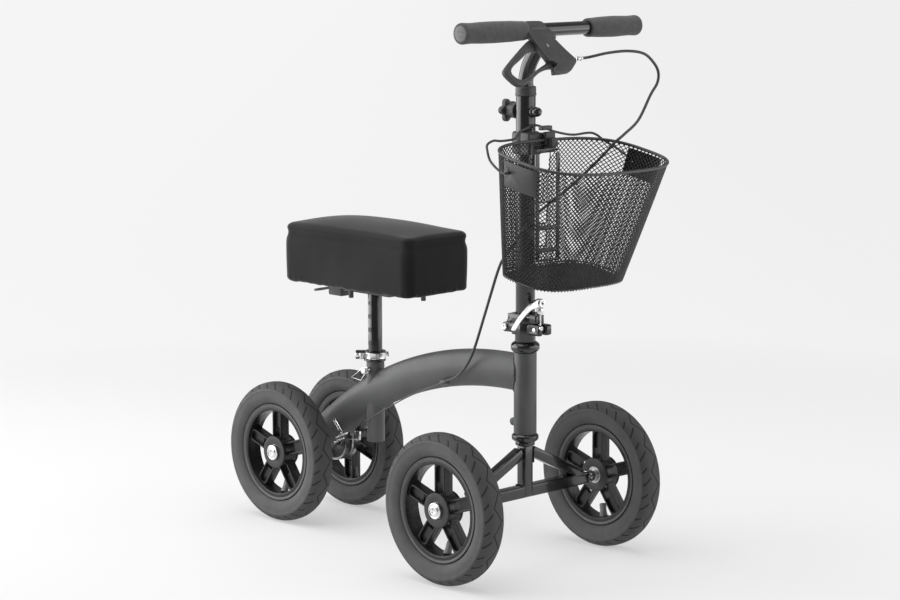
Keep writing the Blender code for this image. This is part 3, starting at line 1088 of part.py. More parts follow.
def add_basket_bail(bail):
    """The wire carrying handle, pivoting in the side plates and lying back over the bracket."""
    route = [tuple(p) for p in smooth_route(BAIL_ROUTE, 36)]
    handle = add_piece("basket_bail", wire_mesh("basket_bail", route, BAIL_RADIUS, resolution=1), BLACK_GLOSS, bail)
    for sign in (-1, 1):
        stub = cylinder_mesh("stub", BAIL_RADIUS * 0.98, BAIL_ARM_Y - BAIL_STUB_Y, 10)
        join(handle, stub, turn_to(Y_AXIS, (BAIL_PIVOT.x, sign * (BAIL_ARM_Y + BAIL_STUB_Y) / 2, BAIL_PIVOT.z)), bail)


def add_basket_clamp(fold):
    """The plastic bracket clamped on the column, with a slot for the tongue of the basket's hook."""
    height = BRACKET_TOP_Z - BRACKET_LOW_Z
    middle = (BRACKET_TOP_Z + BRACKET_LOW_Z) / 2
    rear_block = box_mesh("basket_clamp", (0.0420, 0.0440, height - 0.004), 0.0060)
    clamp = add_piece("basket_clamp", rear_block, BLACK_PLASTIC, fold, Matrix.Translation((STEER_X, 0, middle)))
    block = box_mesh("block", (BRACKET_FRONT_X - 0.5440, BRACKET_LEFT_Y - BRACKET_RIGHT_Y, height), 0.0025)
    join(clamp, block, Matrix.Translation(((BRACKET_FRONT_X + 0.5440) / 2, (BRACKET_LEFT_Y + BRACKET_RIGHT_Y) / 2,
                                           middle)), fold)
    bore = cylinder_mesh("bore", COLUMN_RADIUS + GAP, 0.1, 24)
    cut(clamp, bore, Matrix.Translation((STEER_X, 0, middle)), fold)
    floor = HOOK_GROOVE_Z - GAP
    slot = box_mesh("slot", (0.0200, 2 * (TONGUE_HALF_WIDTH + LOOSE), 0.0300))
    cut(clamp, slot, Matrix.Translation((TONGUE_REAR_X - LOOSE + 0.0100, 0, floor + 0.0150)), fold)


def add_basket_hook(frame, basket, button):
    """The moulded hook over the rim, joined to the wire frame, and its release button."""
    size = (HOOK_FRONT_X - HOOK_REAR_X, HOOK_LEFT_Y - HOOK_RIGHT_Y, HOOK_TOP_Z - HOOK_LOW_Z)
    first = Vector((HOOK_REAR_X, HOOK_RIGHT_Y, HOOK_LOW_Z))
    centre = (first + Vector((HOOK_FRONT_X, HOOK_LEFT_Y, HOOK_TOP_Z))) / 2
    join(frame, box_mesh("hook", size, 0.0020), Matrix.Translation(centre), basket)
    groove = box_mesh("groove", (0.0200, 0.0600, 0.0400))
    cut(frame, groove, Matrix.Translation((HOOK_GROOVE_X - 0.0100, centre.y, HOOK_GROOVE_Z - 0.0200)), basket)
    tongue = box_mesh("tongue", (0.5720 - TONGUE_REAR_X, 2 * TONGUE_HALF_WIDTH, TONGUE_TOP_Z - HOOK_GROOVE_Z))
    join(frame, tongue, Matrix.Translation(((0.5720 + TONGUE_REAR_X) / 2, 0, (TONGUE_TOP_Z + HOOK_GROOVE_Z) / 2)),
         basket)
    low = HOOK_TOP_Z + BUTTON_STANDS - BUTTON_SIZE[2]
    place = Vector((BUTTON_X, BUTTON_Y, low + BUTTON_SIZE[2] / 2))
    well = box_mesh("well", (BUTTON_SIZE[0] + 2 * GAP, BUTTON_SIZE[1] + 2 * GAP, 0.0200))
    cut(frame, well, Matrix.Translation((BUTTON_X, BUTTON_Y, low - BUTTON_TRAVEL - GAP + 0.0100)), basket)
    press = box_mesh("release_button", BUTTON_SIZE, 0.0010)
    add_piece("release_button", press, GREY_PAINT, button, Matrix.Translation(place))


def add_seat_clamp(lever_axis):
    """The quick-release collar on the seat tube, with its curved cam lever."""
    bore = SEAT_TUBE_RADIUS + GAP
    post = POST_RADIUS + RUNNING
    ring = [(post, COLLAR_TOP_Z), (SEAT_COLLAR_RADIUS - 0.001, COLLAR_TOP_Z),
            (SEAT_COLLAR_RADIUS, COLLAR_TOP_Z - 0.001), (SEAT_COLLAR_RADIUS, COLLAR_LOW_Z + 0.001),
            (SEAT_COLLAR_RADIUS - 0.001, COLLAR_LOW_Z),
            (bore, COLLAR_LOW_Z), (bore, SEAT_TUBE_TOP_Z + GAP), (post, SEAT_TUBE_TOP_Z + GAP)]
    collar = add_piece("seat_clamp_collar", turned_mesh("seat_clamp_collar", ring, 20, True), BLACK_GLOSS,
                       matrix=Matrix.Translation((SEAT_X, 0, 0)))
    out = math.radians(225)
    ear = 0.0034
    pivot = Vector((SEAT_X + SEAT_LEVER_PIVOT * math.cos(out), SEAT_LEVER_PIVOT * math.sin(out), 0.0))
    for z in (COLLAR_LOW_Z + ear / 2, COLLAR_TOP_Z - ear / 2):
        tab = box_mesh("ear", (SEAT_LEVER_PIVOT + 0.004 - 0.0176, 0.0090, ear), 0.0006)
        turn = Matrix.Translation((SEAT_X, 0, z)) @ Matrix.Rotation(out, 4, "Z")
        join(collar, tab, turn @ Matrix.Translation(((SEAT_LEVER_PIVOT + 0.004 + 0.0176) / 2, 0, 0)))
    slit = box_mesh("slit", (0.012, 0.0020, 0.030))
    back = Matrix.Translation((SEAT_X, 0, COLLAR_LOW_Z)) @ Matrix.Rotation(math.radians(150), 4, "Z")
    cut(collar, slit, back @ Matrix.Translation((0.0175, 0, 0.005)))
    pin_radius = 0.0026
    bored(collar, pin_radius + GAP, pivot + Vector((0, 0, 0.30)), pivot + Vector((0, 0, 0.33)), sides=14)

    inner_low, inner_high = COLLAR_LOW_Z + ear + GAP, COLLAR_TOP_Z - ear - GAP
    barrel = cylinder_mesh("barrel", SEAT_LEVER_BARREL, inner_high - inner_low, 16)
    lever = add_piece("seat_clamp_lever", barrel, SILVER, lever_axis,
                      Matrix.Translation(pivot + Vector((0, 0, (inner_low + inner_high) / 2))))
    join(lever, cylinder_mesh("pin", pin_radius, COLLAR_TOP_Z - COLLAR_LOW_Z - 0.0004, 14),
         Matrix.Translation(pivot + Vector((0, 0, (COLLAR_LOW_Z + COLLAR_TOP_Z) / 2))), lever_axis)
    arm_in, arm_out = SEAT_LEVER_ARM_RADIUS, SEAT_LEVER_ARM_RADIUS + SEAT_LEVER_ARM_THICK
    turns = [math.radians(218 - 168 * k / 10) for k in range(11)]
    outer = [(SEAT_X + arm_out * math.cos(t), arm_out * math.sin(t)) for t in turns]
    inner = [(SEAT_X + arm_in * math.cos(t), arm_in * math.sin(t)) for t in reversed(turns)]
    heel = [(pivot.x + 0.0010, pivot.y - 0.0030), (pivot.x - 0.0040, pivot.y + 0.0010)]
    arm = plate_mesh("arm", [heel + outer + inner], inner_high - inner_low)
    join(lever, arm, Matrix.Translation((0, 0, (inner_low + inner_high) / 2)), lever_axis)


def add_lock_pin(pin_axis, bail_axis):
    """The pull-out lock pin through the seat tube and post, and its wire ring."""
    head = -0.0305
    far = 0.0215
    neck = -0.0265
    profile = [(0.0, far), (LOCK_PIN_RADIUS - 0.001, far), (LOCK_PIN_RADIUS, far - 0.001),
               (LOCK_PIN_RADIUS, -0.0180), (0.0062, -0.0185), (0.0062, -0.0225), (0.0042, -0.0230),
               (0.0042, head + 0.0022), (0.0060, head + 0.0016), (0.0060, head + 0.0004), (0.0, head)]
    add_piece("seat_lock_pin", turned_mesh("seat_lock_pin", profile, 12), SILVER, pin_axis,
              turn_to(Y_AXIS, (SEAT_X, 0, LOCK_PIN_Z)))
    ring = 0.0058
    corners = [Vector((-0.034, -0.016)), Vector((-0.010, -0.019))]
    route = []
    for k in range(9):
        angle = math.radians(-75 + 210 * k / 8)
        route.append(Vector((ring * math.cos(angle), ring * math.sin(angle))))
    route += [corners[0].lerp(route[-1], 0.1), corners[0], corners[1], corners[1].lerp(route[0], 0.15)]
    wire = [(SEAT_X + p.x, neck, LOCK_PIN_Z + p.y) for p in route]
    add_piece("lock_pin_ring", wire_mesh("lock_pin_ring", wire, 0.0009, cyclic=True, resolution=1), SILVER, bail_axis)


def cushion_mesh():
    """The cushion: a coarse cage with a crown and drawn-in sides, smoothed by a subdivision."""
    length = CUSHION_FRONT_X - CUSHION_REAR_X
    bm = bmesh.new()
    bmesh.ops.create_cube(bm, size=2.0)
    for axis, loops in enumerate(CUSHION_LOOPS):
        for share in loops[1:-1]:
            where = Vector((0, 0, 0))
            where[axis] = share
            normal = Vector((0, 0, 0))
            normal[axis] = 1.0
            bmesh.ops.bisect_plane(bm, geom=bm.verts[:] + bm.edges[:] + bm.faces[:], plane_co=where, plane_no=normal)
    height = CUSHION_EDGE_Z - CUSHION_LOW_Z
    for v in bm.verts:
        u, w, h = v.co.x, v.co.y, (v.co.z + 1.0) / 2
        edge = max(abs(u), abs(w))
        crown = CUSHION_CROWN * (1 - abs(u) ** 3) * (1 - abs(w) ** 2.4) if h > 0.99 else 0.0
        waist = CUSHION_DRAW_IN * math.sin(math.pi * h) if edge > 0.99 else 0.0
        v.co.x = u * (length / 2 - waist)
        v.co.y = w * (CUSHION_HALF_WIDTH - waist)
        v.co.z = h * height + crown
    mesh = mesh_from_bmesh("knee_cushion", bm)
    mesh.transform(Matrix.Translation(((CUSHION_FRONT_X + CUSHION_REAR_X) / 2, 0, CUSHION_LOW_Z)))
    return mesh


def add_seat(seat):
    """The adjusting post, the board under the seat with its fittings, and the knee cushion round it."""
    top = BASE_PLATE_Z - GAP
    inner = POST_RADIUS - POST_WALL
    tube = [(0.0, top), (POST_RADIUS, top), (POST_RADIUS, POST_LOW_Z), (inner, POST_LOW_Z), (inner, top - 0.004),
            (0.0, top - 0.004)]
    post = add_piece("seat_post", turned_mesh("seat_post", tube, 16), BLACK_GLOSS, seat,
                     Matrix.Translation((SEAT_X, 0, 0)))
    lowest = LOCK_PIN_Z - (SEAT_HOLES - 1) / 2 * SEAT_HOLE_PITCH
    for k in range(SEAT_HOLES):
        z = lowest + k * SEAT_HOLE_PITCH
        bored(post, SEAT_HOLE_RADIUS, (SEAT_X, -0.03, z), (SEAT_X, 0.03, z), seat, 8)

    middle = (CUSHION_FRONT_X + CUSHION_REAR_X) / 2
    inset = CUSHION_HEM + GAP
    size = (CUSHION_FRONT_X - CUSHION_REAR_X - 2 * inset, 2 * (CUSHION_HALF_WIDTH - inset), BASE_PLATE)
    plate = add_piece("seat_base_plate", box_mesh("seat_base_plate", size, 0.0012), BLACK_PLASTIC, seat,
                      Matrix.Translation((middle, 0, BASE_PLATE_Z + BASE_PLATE / 2)))
    sunk = 0.0010
    channel = box_mesh("channel", (CHANNEL_FRONT_X - CHANNEL_REAR_X, 2 * CHANNEL_HALF_WIDTH, CHANNEL_HEIGHT + sunk))
    join(plate, channel, Matrix.Translation(((CHANNEL_FRONT_X + CHANNEL_REAR_X) / 2, 0,
                                             BASE_PLATE_Z + (sunk - CHANNEL_HEIGHT) / 2)), seat)
    for x, y, drop in STUDS:
        stud = cylinder_mesh("stud", STUD_RADIUS, drop + 0.0020, 8)
        join(plate, stud, Matrix.Translation((x, y, BASE_PLATE_Z + 0.0010 - drop / 2)), seat)
    bracket = box_mesh("bracket", SEAT_BRACKET_SIZE, 0.0020)
    join(plate, bracket, Matrix.Translation((SEAT_BRACKET_X, 0, BASE_PLATE_Z + 0.0030 - SEAT_BRACKET_SIZE[2] / 2)),
         seat)
    strap = wire_mesh("loop", [tuple(p) for p in smooth_route(SEAT_LOOP_ROUTE, 12)], 0.0022, resolution=1)
    join(plate, strap, Matrix(), seat)
    bored(plate, POST_RADIUS + GAP, (SEAT_X, 0, BASE_PLATE_Z - 0.03), (SEAT_X, 0, BASE_PLATE_Z + GAP), seat, 16)

    cushion = add_piece("knee_cushion", cushion_mesh(), FABRIC, seat)
    soften = cushion.modifiers.new("soften", "SUBSURF")
    soften.levels = 1
    soften.render_levels = 1
    low, high = CUSHION_LOW_Z - 0.010, BASE_PLATE_Z + BASE_PLATE + GAP
    recess = box_mesh("recess", (CUSHION_FRONT_X - CUSHION_REAR_X - 2 * CUSHION_HEM,
                                 2 * (CUSHION_HALF_WIDTH - CUSHION_HEM), high - low))
    cut(cushion, recess, Matrix.Translation((middle, 0, (low + high) / 2)), seat)


def add_rear_brake(left_wheel, arm_axis):
    """The band brake on the left rear wheel: cover, drum, band and cable arm."""
    bore = AXLE_SPACER_RADIUS + RUNNING
    face = REAR_AXLE_TUBE_LEFT_Y + GAP
    rim = face + BRAKE_COVER_DEPTH
    wall = BRAKE_COVER_WALL
    radius = BRAKE_COVER_RADIUS
    dish = [(radius - 0.001, rim), (radius, rim - 0.001), (radius, face + 0.005), (radius - 0.004, face),
            (bore, face), (bore, face + wall), (radius - 0.005, face + wall), (radius - wall, face + 0.0062),
            (radius - wall, rim)]
    cover = add_piece("brake_cover", turned_mesh("brake_cover", dish, 20, True), SILVER,
                      matrix=turn_to(Y_AXIS, (0, 0, WHEEL_RADIUS)))
    pivot = Vector((BRAKE_ARM_PIVOT.x, 0.0, BRAKE_ARM_PIVOT.y))
    block = box_mesh("block", CABLE_BLOCK_SIZE, 0.0010)
    join(cover, block, Matrix.Translation(CABLE_BLOCK))
    strap = box_mesh("strap", (0.034, face + wall - CABLE_BLOCK.y, 0.0085))
    join(cover, strap, Matrix.Translation((CABLE_BLOCK.x - 0.0115, (face + wall + CABLE_BLOCK.y) / 2, CABLE_BLOCK.z)))
    room = box_mesh("room", (0.040, 0.012, 0.016))
    cut(cover, room, Matrix.Translation((CABLE_BLOCK.x - 0.0265, face - 0.006, CABLE_BLOCK.z)))
    shaft = 0.0036
    bored(cover, shaft + RUNNING, pivot + Y_AXIS * 0.02, pivot + Y_AXIS * 0.05, sides=12)
    wire_way = Vector((1.0, 0.0, 0.27)).normalized() * 0.02
    bored(cover, CABLE_BLOCK_HOLE, CABLE_BLOCK - wire_way, CABLE_BLOCK + wire_way, sides=10)

    hub = REAR_WHEEL_Y - HUB_HALF_WIDTH - GAP
    inner = DRUM_RADIUS - DRUM_WALL
    drum = [(DRUM_RADIUS, hub), (DRUM_RADIUS, face + 0.0045), (inner, face + 0.0045), (inner, hub - 0.0040),
            (bore + 0.001, hub - 0.0040), (bore + 0.001, hub)]
    add_piece("brake_drum", turned_mesh("brake_drum", drum, 24, True), SILVER, left_wheel,
              turn_to(Y_AXIS, (0, 0, WHEEL_RADIUS)))
    band_in = across(DRUM_RADIUS + LOOSE, 24)
    band = [(band_in + BAND_THICKNESS, rim - 0.0015), (band_in + BAND_THICKNESS, face + 0.0060),
            (band_in, face + 0.0060), (band_in, rim - 0.0015)]
    strap = add_piece("brake_band", turned_mesh("brake_band", band, 24, True), BLACK_PLASTIC,
                      matrix=turn_to(Y_AXIS, (0, 0, WHEEL_RADIUS)))
    slit = box_mesh("slit", (0.012, 0.030, 0.006))
    cut(strap, slit, Matrix.Translation((-DRUM_RADIUS - 0.002, face + 0.010, WHEEL_RADIUS)))

    tip = BRAKE_ARM_TIP
    way = (tip - BRAKE_ARM_PIVOT).normalized()
    side = Vector((-way.y, way.x))
    outline = []
    for k in range(7):
        turn = math.pi * k / 6
        outline.append(tuple(BRAKE_ARM_PIVOT + (side * math.cos(turn) - way * math.sin(turn)) * 0.0068))
    for k in range(5):
        turn = math.pi * k / 4
        outline.append(tuple(tip + (-side * math.cos(turn) + way * math.sin(turn)) * 0.0045))
    y = REAR_AXLE_TUBE_LEFT_Y - BRAKE_ARM_THICKNESS / 2
    flat = Matrix(((1, 0, 0, 0), (0, 0, -1, y), (0, 1, 0, 0), (0, 0, 0, 1)))
    arm = add_piece("brake_arm", plate_mesh("brake_arm", [outline], BRAKE_ARM_THICKNESS), SILVER, arm_axis, flat)
    for share in (0.45, 0.72, 1.0):
        hole = BRAKE_ARM_PIVOT.lerp(tip, share)
        bored(arm, 0.0017, (hole.x, y - 0.01, hole.y), (hole.x, y + 0.01, hole.y), arm_axis, 10)
    axle = cylinder_mesh("axle", shaft, 0.0090, 12)
    join(arm, axle, turn_to(Y_AXIS, pivot + Y_AXIS * (y + 0.0045)), arm_axis)
    pinch = Vector((BRAKE_PINCH.x, y, BRAKE_PINCH.y))
    reach = (BRAKE_ARM_PIVOT - BRAKE_PINCH).length
    lobe = box_mesh("lobe", (2 * BRAKE_PINCH_RADIUS - 0.001, BRAKE_ARM_THICKNESS, reach))
    join(arm, lobe, turn_to(Vector((pivot.x - pinch.x, 0, pivot.z - pinch.z)),
                            Vector(((pivot.x + pinch.x) / 2, y, (pivot.z + pinch.z) / 2))), arm_axis)
    bolt = cylinder_mesh("pinch", BRAKE_PINCH_RADIUS, 0.0090, 12)
    join(arm, bolt, turn_to(Y_AXIS, pinch - Y_AXIS * 0.0030), arm_axis)
    bored(arm, WIRE_RADIUS + GAP, (pinch.x - 0.01, CABLE_BLOCK.y, pinch.z - 0.0027),
          (pinch.x + 0.01, CABLE_BLOCK.y, pinch.z + 0.0027), arm_axis, 8)


def main():
    start_scene()
    steering = joint_empty("steering_axis", (STEER_X, 0.0, HEAD_TUBE_LOW_Z))
    rod_axis = joint_empty("release_rod_axis", (ROD_X, 0.0, ROD_PIN_Z), steering)
    cam_axis = joint_empty("fold_lever_axis", (ROD_X, 0.0, CAM_Z), rod_axis)
    fold = joint_empty("column_fold_axis", (FOLD_PIN_X, 0.0, FOLD_PIN_Z), steering)
    knob_axis = joint_empty("height_knob_axis", (KNOB_FRONT_X, 0.0, KNOB_Z), fold)
    height = joint_empty("handlebar_height", (STEER_X, 0.0, COLUMN_TOP_Z), fold)
    pivot = housing_frame() @ Vector((LEVER_PIVOT.x, LEVER_PIVOT.y, 0.0))
    hand_lever = joint_empty("brake_lever_axis", pivot, height)
    basket = joint_empty("basket_lift", (BASKET_REAR_X, 0.0, RIM_REAR_Z), fold)
    bail = joint_empty("basket_bail_axis", BAIL_PIVOT, basket)
    button = joint_empty("release_button_slide", (BUTTON_X, BUTTON_Y, HOOK_TOP_Z), basket)
    seat = joint_empty("seat_height", (SEAT_X, 0.0, SEAT_TUBE_TOP_Z))
    out = math.radians(225)
    ear = Vector((SEAT_X + SEAT_LEVER_PIVOT * math.cos(out), SEAT_LEVER_PIVOT * math.sin(out), COLLAR_LOW_Z))
    seat_lever = joint_empty("seat_clamp_lever_axis", ear)
    pin = joint_empty("lock_pin_slide", (SEAT_X, 0.0, LOCK_PIN_Z))
    ring = joint_empty("lock_pin_ring_axis", (SEAT_X, -0.0265, LOCK_PIN_Z), pin)
    arm = joint_empty("brake_arm_axis", (BRAKE_ARM_PIVOT.x, REAR_AXLE_TUBE_LEFT_Y, BRAKE_ARM_PIVOT.y))

    add_frame()
    add_headset()
    add_wheels(steering)
    add_axle_bolts(steering)
    add_front_axle(steering)
    add_fold_clamp(steering, fold)
    add_quick_release(rod_axis, cam_axis)
    add_column(fold, knob_axis)
    add_handlebar(height)
    add_hand_brake(height, hand_lever)
    add_brake_cable()
    add_basket(basket, button)
    add_basket_bail(bail)
    add_basket_clamp(fold)
    add_seat(seat)
    add_seat_clamp(seat_lever)
    add_lock_pin(pin, ring)
    left_wheel = bpy.data.objects["rear_left_wheel_axis"]
    add_rear_brake(left_wheel, arm)


main()
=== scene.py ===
"""The looks of a knee walker: its finishes, its detailed pieces, and a pale studio round it.

The pieces are modelled in the walker's own frame, with X counted from the rear axle. Their sizes are written in
millimetres, and the mesh helpers turn them to metres. finish_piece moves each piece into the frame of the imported
model. The finishes and the studio are in metres.
"""

import math

import bmesh
import bpy
from bpy.props import FloatProperty, FloatVectorProperty, IntProperty, PointerProperty
from mathutils import Matrix, Vector, noise


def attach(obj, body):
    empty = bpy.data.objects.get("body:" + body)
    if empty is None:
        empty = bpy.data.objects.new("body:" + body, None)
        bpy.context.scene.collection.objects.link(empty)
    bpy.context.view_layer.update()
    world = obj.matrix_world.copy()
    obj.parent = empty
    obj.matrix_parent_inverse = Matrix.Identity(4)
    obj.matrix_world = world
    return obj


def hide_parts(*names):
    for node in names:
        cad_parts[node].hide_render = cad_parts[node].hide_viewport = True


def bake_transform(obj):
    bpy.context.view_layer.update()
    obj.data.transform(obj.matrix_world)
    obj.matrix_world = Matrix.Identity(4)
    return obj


bl_info = {
    "name": "Knee walker",
    "version": (1, 0, 0),
    "blender": (4, 5, 0),
    "location": "View3D > Sidebar > Walker",
    "description": "Builds the finishes and detailed pieces of a knee walker on its packed model",
    "category": "Object",
}

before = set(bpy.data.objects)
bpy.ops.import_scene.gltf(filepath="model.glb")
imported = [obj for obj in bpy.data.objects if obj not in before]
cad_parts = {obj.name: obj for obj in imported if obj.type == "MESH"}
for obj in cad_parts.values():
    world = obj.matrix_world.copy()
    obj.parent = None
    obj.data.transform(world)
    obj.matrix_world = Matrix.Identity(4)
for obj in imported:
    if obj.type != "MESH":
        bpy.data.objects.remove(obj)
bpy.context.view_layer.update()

MM = 0.001
SHIFT = Vector((-0.3179002, 0.0, 0.0))
X_AXIS = Vector((1.0, 0.0, 0.0))
Y_AXIS = Vector((0.0, 1.0, 0.0))
Z_AXIS = Vector((0.0, 0.0, 1.0))
GAP = 0.3

# Wheels
WHEEL_RADIUS = 127.0
REAR_WHEEL_Y = 86.5
FRONT_WHEEL_Y = 189.5
WHEELBASE = 533.0
HUB_HALF_WIDTH = 17.5
SPOKES = 5

# Frame
STEER_X = 534.0
SEAT_X = 161.0
ARCH_TOP_Z = 328.5
ARCH_FLAT_END_X = 497.0
ARCH_RADIUS = 720.0
ARCH_TURN = 37.0
ARCH_STEPS = 72
CABLE_STOP = Vector((356.5, -21.5, 292.0))

# Column and handlebar
HINGE = (506.0, 0.0, 407.0)
CAM = Vector((568.0, 0.0, 451.4))
KNOB_Z = 768.0
BAR = Vector((590.7, 0.0, 904.3))
BAR_HALF_LENGTH = 201.0
GRIP_END_Y = 206.0
HOUSING_DOWN = Vector((0.5, 0.0, -math.sqrt(0.75)))

# Brake cable, as the solid of the same name runs
CABLE_RADIUS = 2.4
WIRE_RADIUS = 1.2
CABLE_OUTER_ROUTE = (
    (618.2, 46.2, 856.7), (619.0, 56.0, 857.4), (626.0, 65.2, 859.8), (636.0, 89.5, 864.4), (645.0, 126.4, 866.2),
    (650.0, 160.2, 860.8), (650.0, 184.3, 845.6), (650.0, 196.9, 829.0), (650.0, 194.9, 810.7),
    (650.0, 178.1, 791.4), (650.0, 148.5, 751.5), (650.0, 114.0, 730.0), (645.0, 96.0, 717.0), (620.0, 96.0, 695.0),
    (600.0, 83.5, 671.0), (585.0, 55.0, 643.0), (575.0, 25.0, 622.0), (559.0, 0.0, 599.0), (554.0, -20.0, 579.0),
    (543.0, -33.0, 554.0), (523.0, -40.0, 526.5), (505.0, -35.0, 504.0), (482.6, -30.0, 460.7),
    (465.2, -30.0, 417.1), (444.2, -30.0, 365.9), (425.5, -28.0, 336.0), (397.0, -25.0, 309.0), (366.4, -21.8, 296.2),
)
CABLE_WIRE_ROUTE = (
    (366.0, -21.8, 296.0), (356.5, -21.5, 292.0), (340.0, -21.2, 285.2), (297.8, -19.5, 268.1), (245.4, -19.5, 244.0),
    (140.0, -19.5, 186.0), (118.0, -12.0, 171.0), (104.0, -2.0, 163.0), (92.0, 14.0, 155.0), (83.0, 24.0, 149.0),
    (76.0, 28.8, 145.5), (66.0, 30.0, 142.5), (56.0, 30.0, 139.8), (15.0, 30.0, 128.6),
)
WIRE_BLEND = (Vector((118.0, -12.0, 171.0)), Vector((83.0, 24.0, 149.0)))

# Basket
BASKET_REAR_X = 570.0
BASKET_FLOOR_REAR_X = 558.4
BASKET_SLOPE = -0.2035
RIM_HALF_DEPTH = 96.1
RIM_HALF_SPAN = 149.0
RIM_REAR_Z = 722.2
RIM_POWER = 2.94
FLOOR_HALF_DEPTH = 62.4
FLOOR_HALF_SPAN = 107.7
FLOOR_REAR_Z = 513.3
FLOOR_POWER = 3.36
FLOOR_PITCH = (7.5, 9.0)
BASKET_WINDOWS = ((-21.5, 21.5, 672.0, 715.0), (-18.0, 20.0, 584.0, 618.0), (-21.5, 21.5, 545.0, 576.0))
REAR_WALL_END_X = 580.0
BRACKET_OPENING = (-33.0, 29.0, 694.0)
BRACKET_Y = -9.2
BRACKET_Z = 716.4
BAIL_PIVOT = (640.0, 144.1, 684.0)
BAIL_ROUTE = (
    (640.0, -153.5, 684.0), (636.0, -153.5, 683.8), (625.3, -153.5, 686.7), (605.1, -153.5, 701.2),
    (595.6, -151.0, 717.4), (587.0, -142.0, 725.6), (572.0, -113.0, 728.8), (562.0, -85.0, 726.0),
    (558.5, -51.0, 727.2), (558.5, -41.0, 737.2), (558.5, -20.7, 743.0), (558.5, -10.4, 747.0), (558.5, 6.0, 745.0),
    (558.5, 33.1, 736.2), (558.5, 61.0, 729.3), (560.0, 88.2, 725.3), (570.0, 122.7, 726.6), (583.0, 140.0, 712.7),
    (594.0, 150.2, 703.9), (605.1, 153.5, 697.5), (625.3, 153.5, 686.7), (636.0, 153.5, 683.8), (640.0, 153.5, 684.0),
)

# Seat
CUSHION_REAR_X = 1.5
CUSHION_FRONT_X = 326.2
CUSHION_HALF_WIDTH = 74.0
CUSHION_LOW_Z = 438.5
CUSHION_EDGE_Z = 543.0
CUSHION_CORNER = 17.0
CUSHION_TOP_EDGE = 9.0
CUSHION_LOW_EDGE = 7.0
CUSHION_HEM = 8.5
CUSHION_CROWN = 15.0
LOCK_PIN_Z = 288.0
SEAT_HOLE_PITCH = 24.0


class Signal:
    """A shader socket that adds its Math nodes when it is used in an expression."""

    def __init__(self, finish, socket):
        self.finish = finish
        self.socket = socket

    def math(self, operation, *values):
        inputs = dict(enumerate((self,) + values))
        return self.finish.node("ShaderNodeMath", {"operation": operation}, inputs)

    def __add__(self, other):
        return self.math("ADD", other)

    __radd__ = __add__

    def __sub__(self, other):
        return self.math("SUBTRACT", other)

    def __rsub__(self, other):
        return (self * -1.0) + other

    def __mul__(self, other):
        return self.math("MULTIPLY", other)

    __rmul__ = __mul__

    def __abs__(self):
        return self.math("ABSOLUTE")

    def below(self, other):
        return self.math("LESS_THAN", other)

    def larger(self, other):
        return self.math("MAXIMUM", other)

    def part(self):
        return self.math("FRACT")

    def ramp(self, low, high, start=0.0, end=1.0):
        """This value moved from one range to another, and kept inside it."""
        return self.finish.node("ShaderNodeMapRange", {"clamp": True}, {0: self, 1: low, 2: high, 3: start, 4: end})


class Finish:
    """A material whose nodes are added by short calls."""

    def __init__(self, colour, roughness, metallic=0.0, specular=0.5, coat=0.0, coat_roughness=0.1, sheen=0.0):
        self.material = bpy.data.materials.new("finish")
        self.material.use_nodes = True
        self.tree = self.material.node_tree
        self.surface = self.tree.nodes["Principled BSDF"]
        values = {
            "Base Color": (*colour, 1.0), "Roughness": roughness, "Metallic": metallic, "Specular IOR Level": specular,
            "Coat Weight": coat, "Coat Roughness": coat_roughness, "Sheen Weight": sheen, "Sheen Roughness": 0.4,
        }
        for socket, value in values.items():
            self.surface.inputs[socket].default_value = value
        self.place = self.node("ShaderNodeTexCoord", output="Object")

    def node(self, kind, settings=None, inputs=None, output=0):
        """Add a node, set it up, link its sockets, and return one of its outputs."""
        node = self.tree.nodes.new(kind)
        for name, value in (settings or {}).items():
            setattr(node, name, value)
        for key, value in (inputs or {}).items():
            if isinstance(value, Signal):
                self.tree.links.new(value.socket, node.inputs[key])
            else:
                node.inputs[key].default_value = value
        return Signal(self, node.outputs[output])

    def noise(self, scale, detail=2.0, roughness=0.5, place=None):
        inputs = {"Vector": place or self.place, "Scale": scale, "Detail": detail, "Roughness": roughness}
        return self.node("ShaderNodeTexNoise", {}, inputs)

    def cells(self, scale):
        return self.node("ShaderNodeTexVoronoi", {}, {"Vector": self.place, "Scale": scale}, "Distance")

    def clouds(self, scale, detail=3.0, start=0.0, end=1.0):
        """Soft patches between two values."""
        return self.noise(scale, detail).ramp(0.3, 0.7, start, end)

    def stretched(self, scale):
        """The place with each axis scaled, for grain that runs one way."""
        return self.node("ShaderNodeMapping", {}, {"Vector": self.place, "Scale": scale})

    def axis(self, name, place=None):
        return self.node("ShaderNodeSeparateXYZ", {}, {0: place or self.place}, name)

    def mix(self, share, first, second):
        """Two colours or colour signals mixed by a share."""
        first, second = (c if isinstance(c, Signal) else (*c, 1.0) for c in (first, second))
        return self.node("ShaderNodeMix", {"data_type": "RGBA"}, {0: share, 6: first, 7: second}, 2)

    def feed(self, socket, value):
        self.tree.links.new(value.socket, self.surface.inputs[socket])

    def shade(self, share, first, second):
        self.feed("Base Color", self.mix(share, first, second))

    def wear(self, scale, smooth, rough, detail=3.0):
        """Let the roughness wander between two values."""
        self.feed("Roughness", self.clouds(scale, detail, smooth, rough))

    def bump(self, height, strength, distance=0.0002):
        """Feed a height to the surface's normal."""
        inputs = {"Height": height, "Strength": strength, "Distance": distance}
        self.feed("Normal", self.node("ShaderNodeBump", {}, inputs))


MATERIALS = {}


def kept(slot):
    """Decorator that makes a finish once, named after its function, and notes the slot that it fills."""
    def wrap(maker):
        def made():
            name = maker.__name__
            if name not in MATERIALS:
                MATERIALS[name] = maker().material
                MATERIALS[name].name = name
            return MATERIALS[name]
        made.slot = slot
        return made
    return wrap


def colours():
    return bpy.context.scene.walker_colours


def sizes():
    return bpy.context.scene.walker_sizes


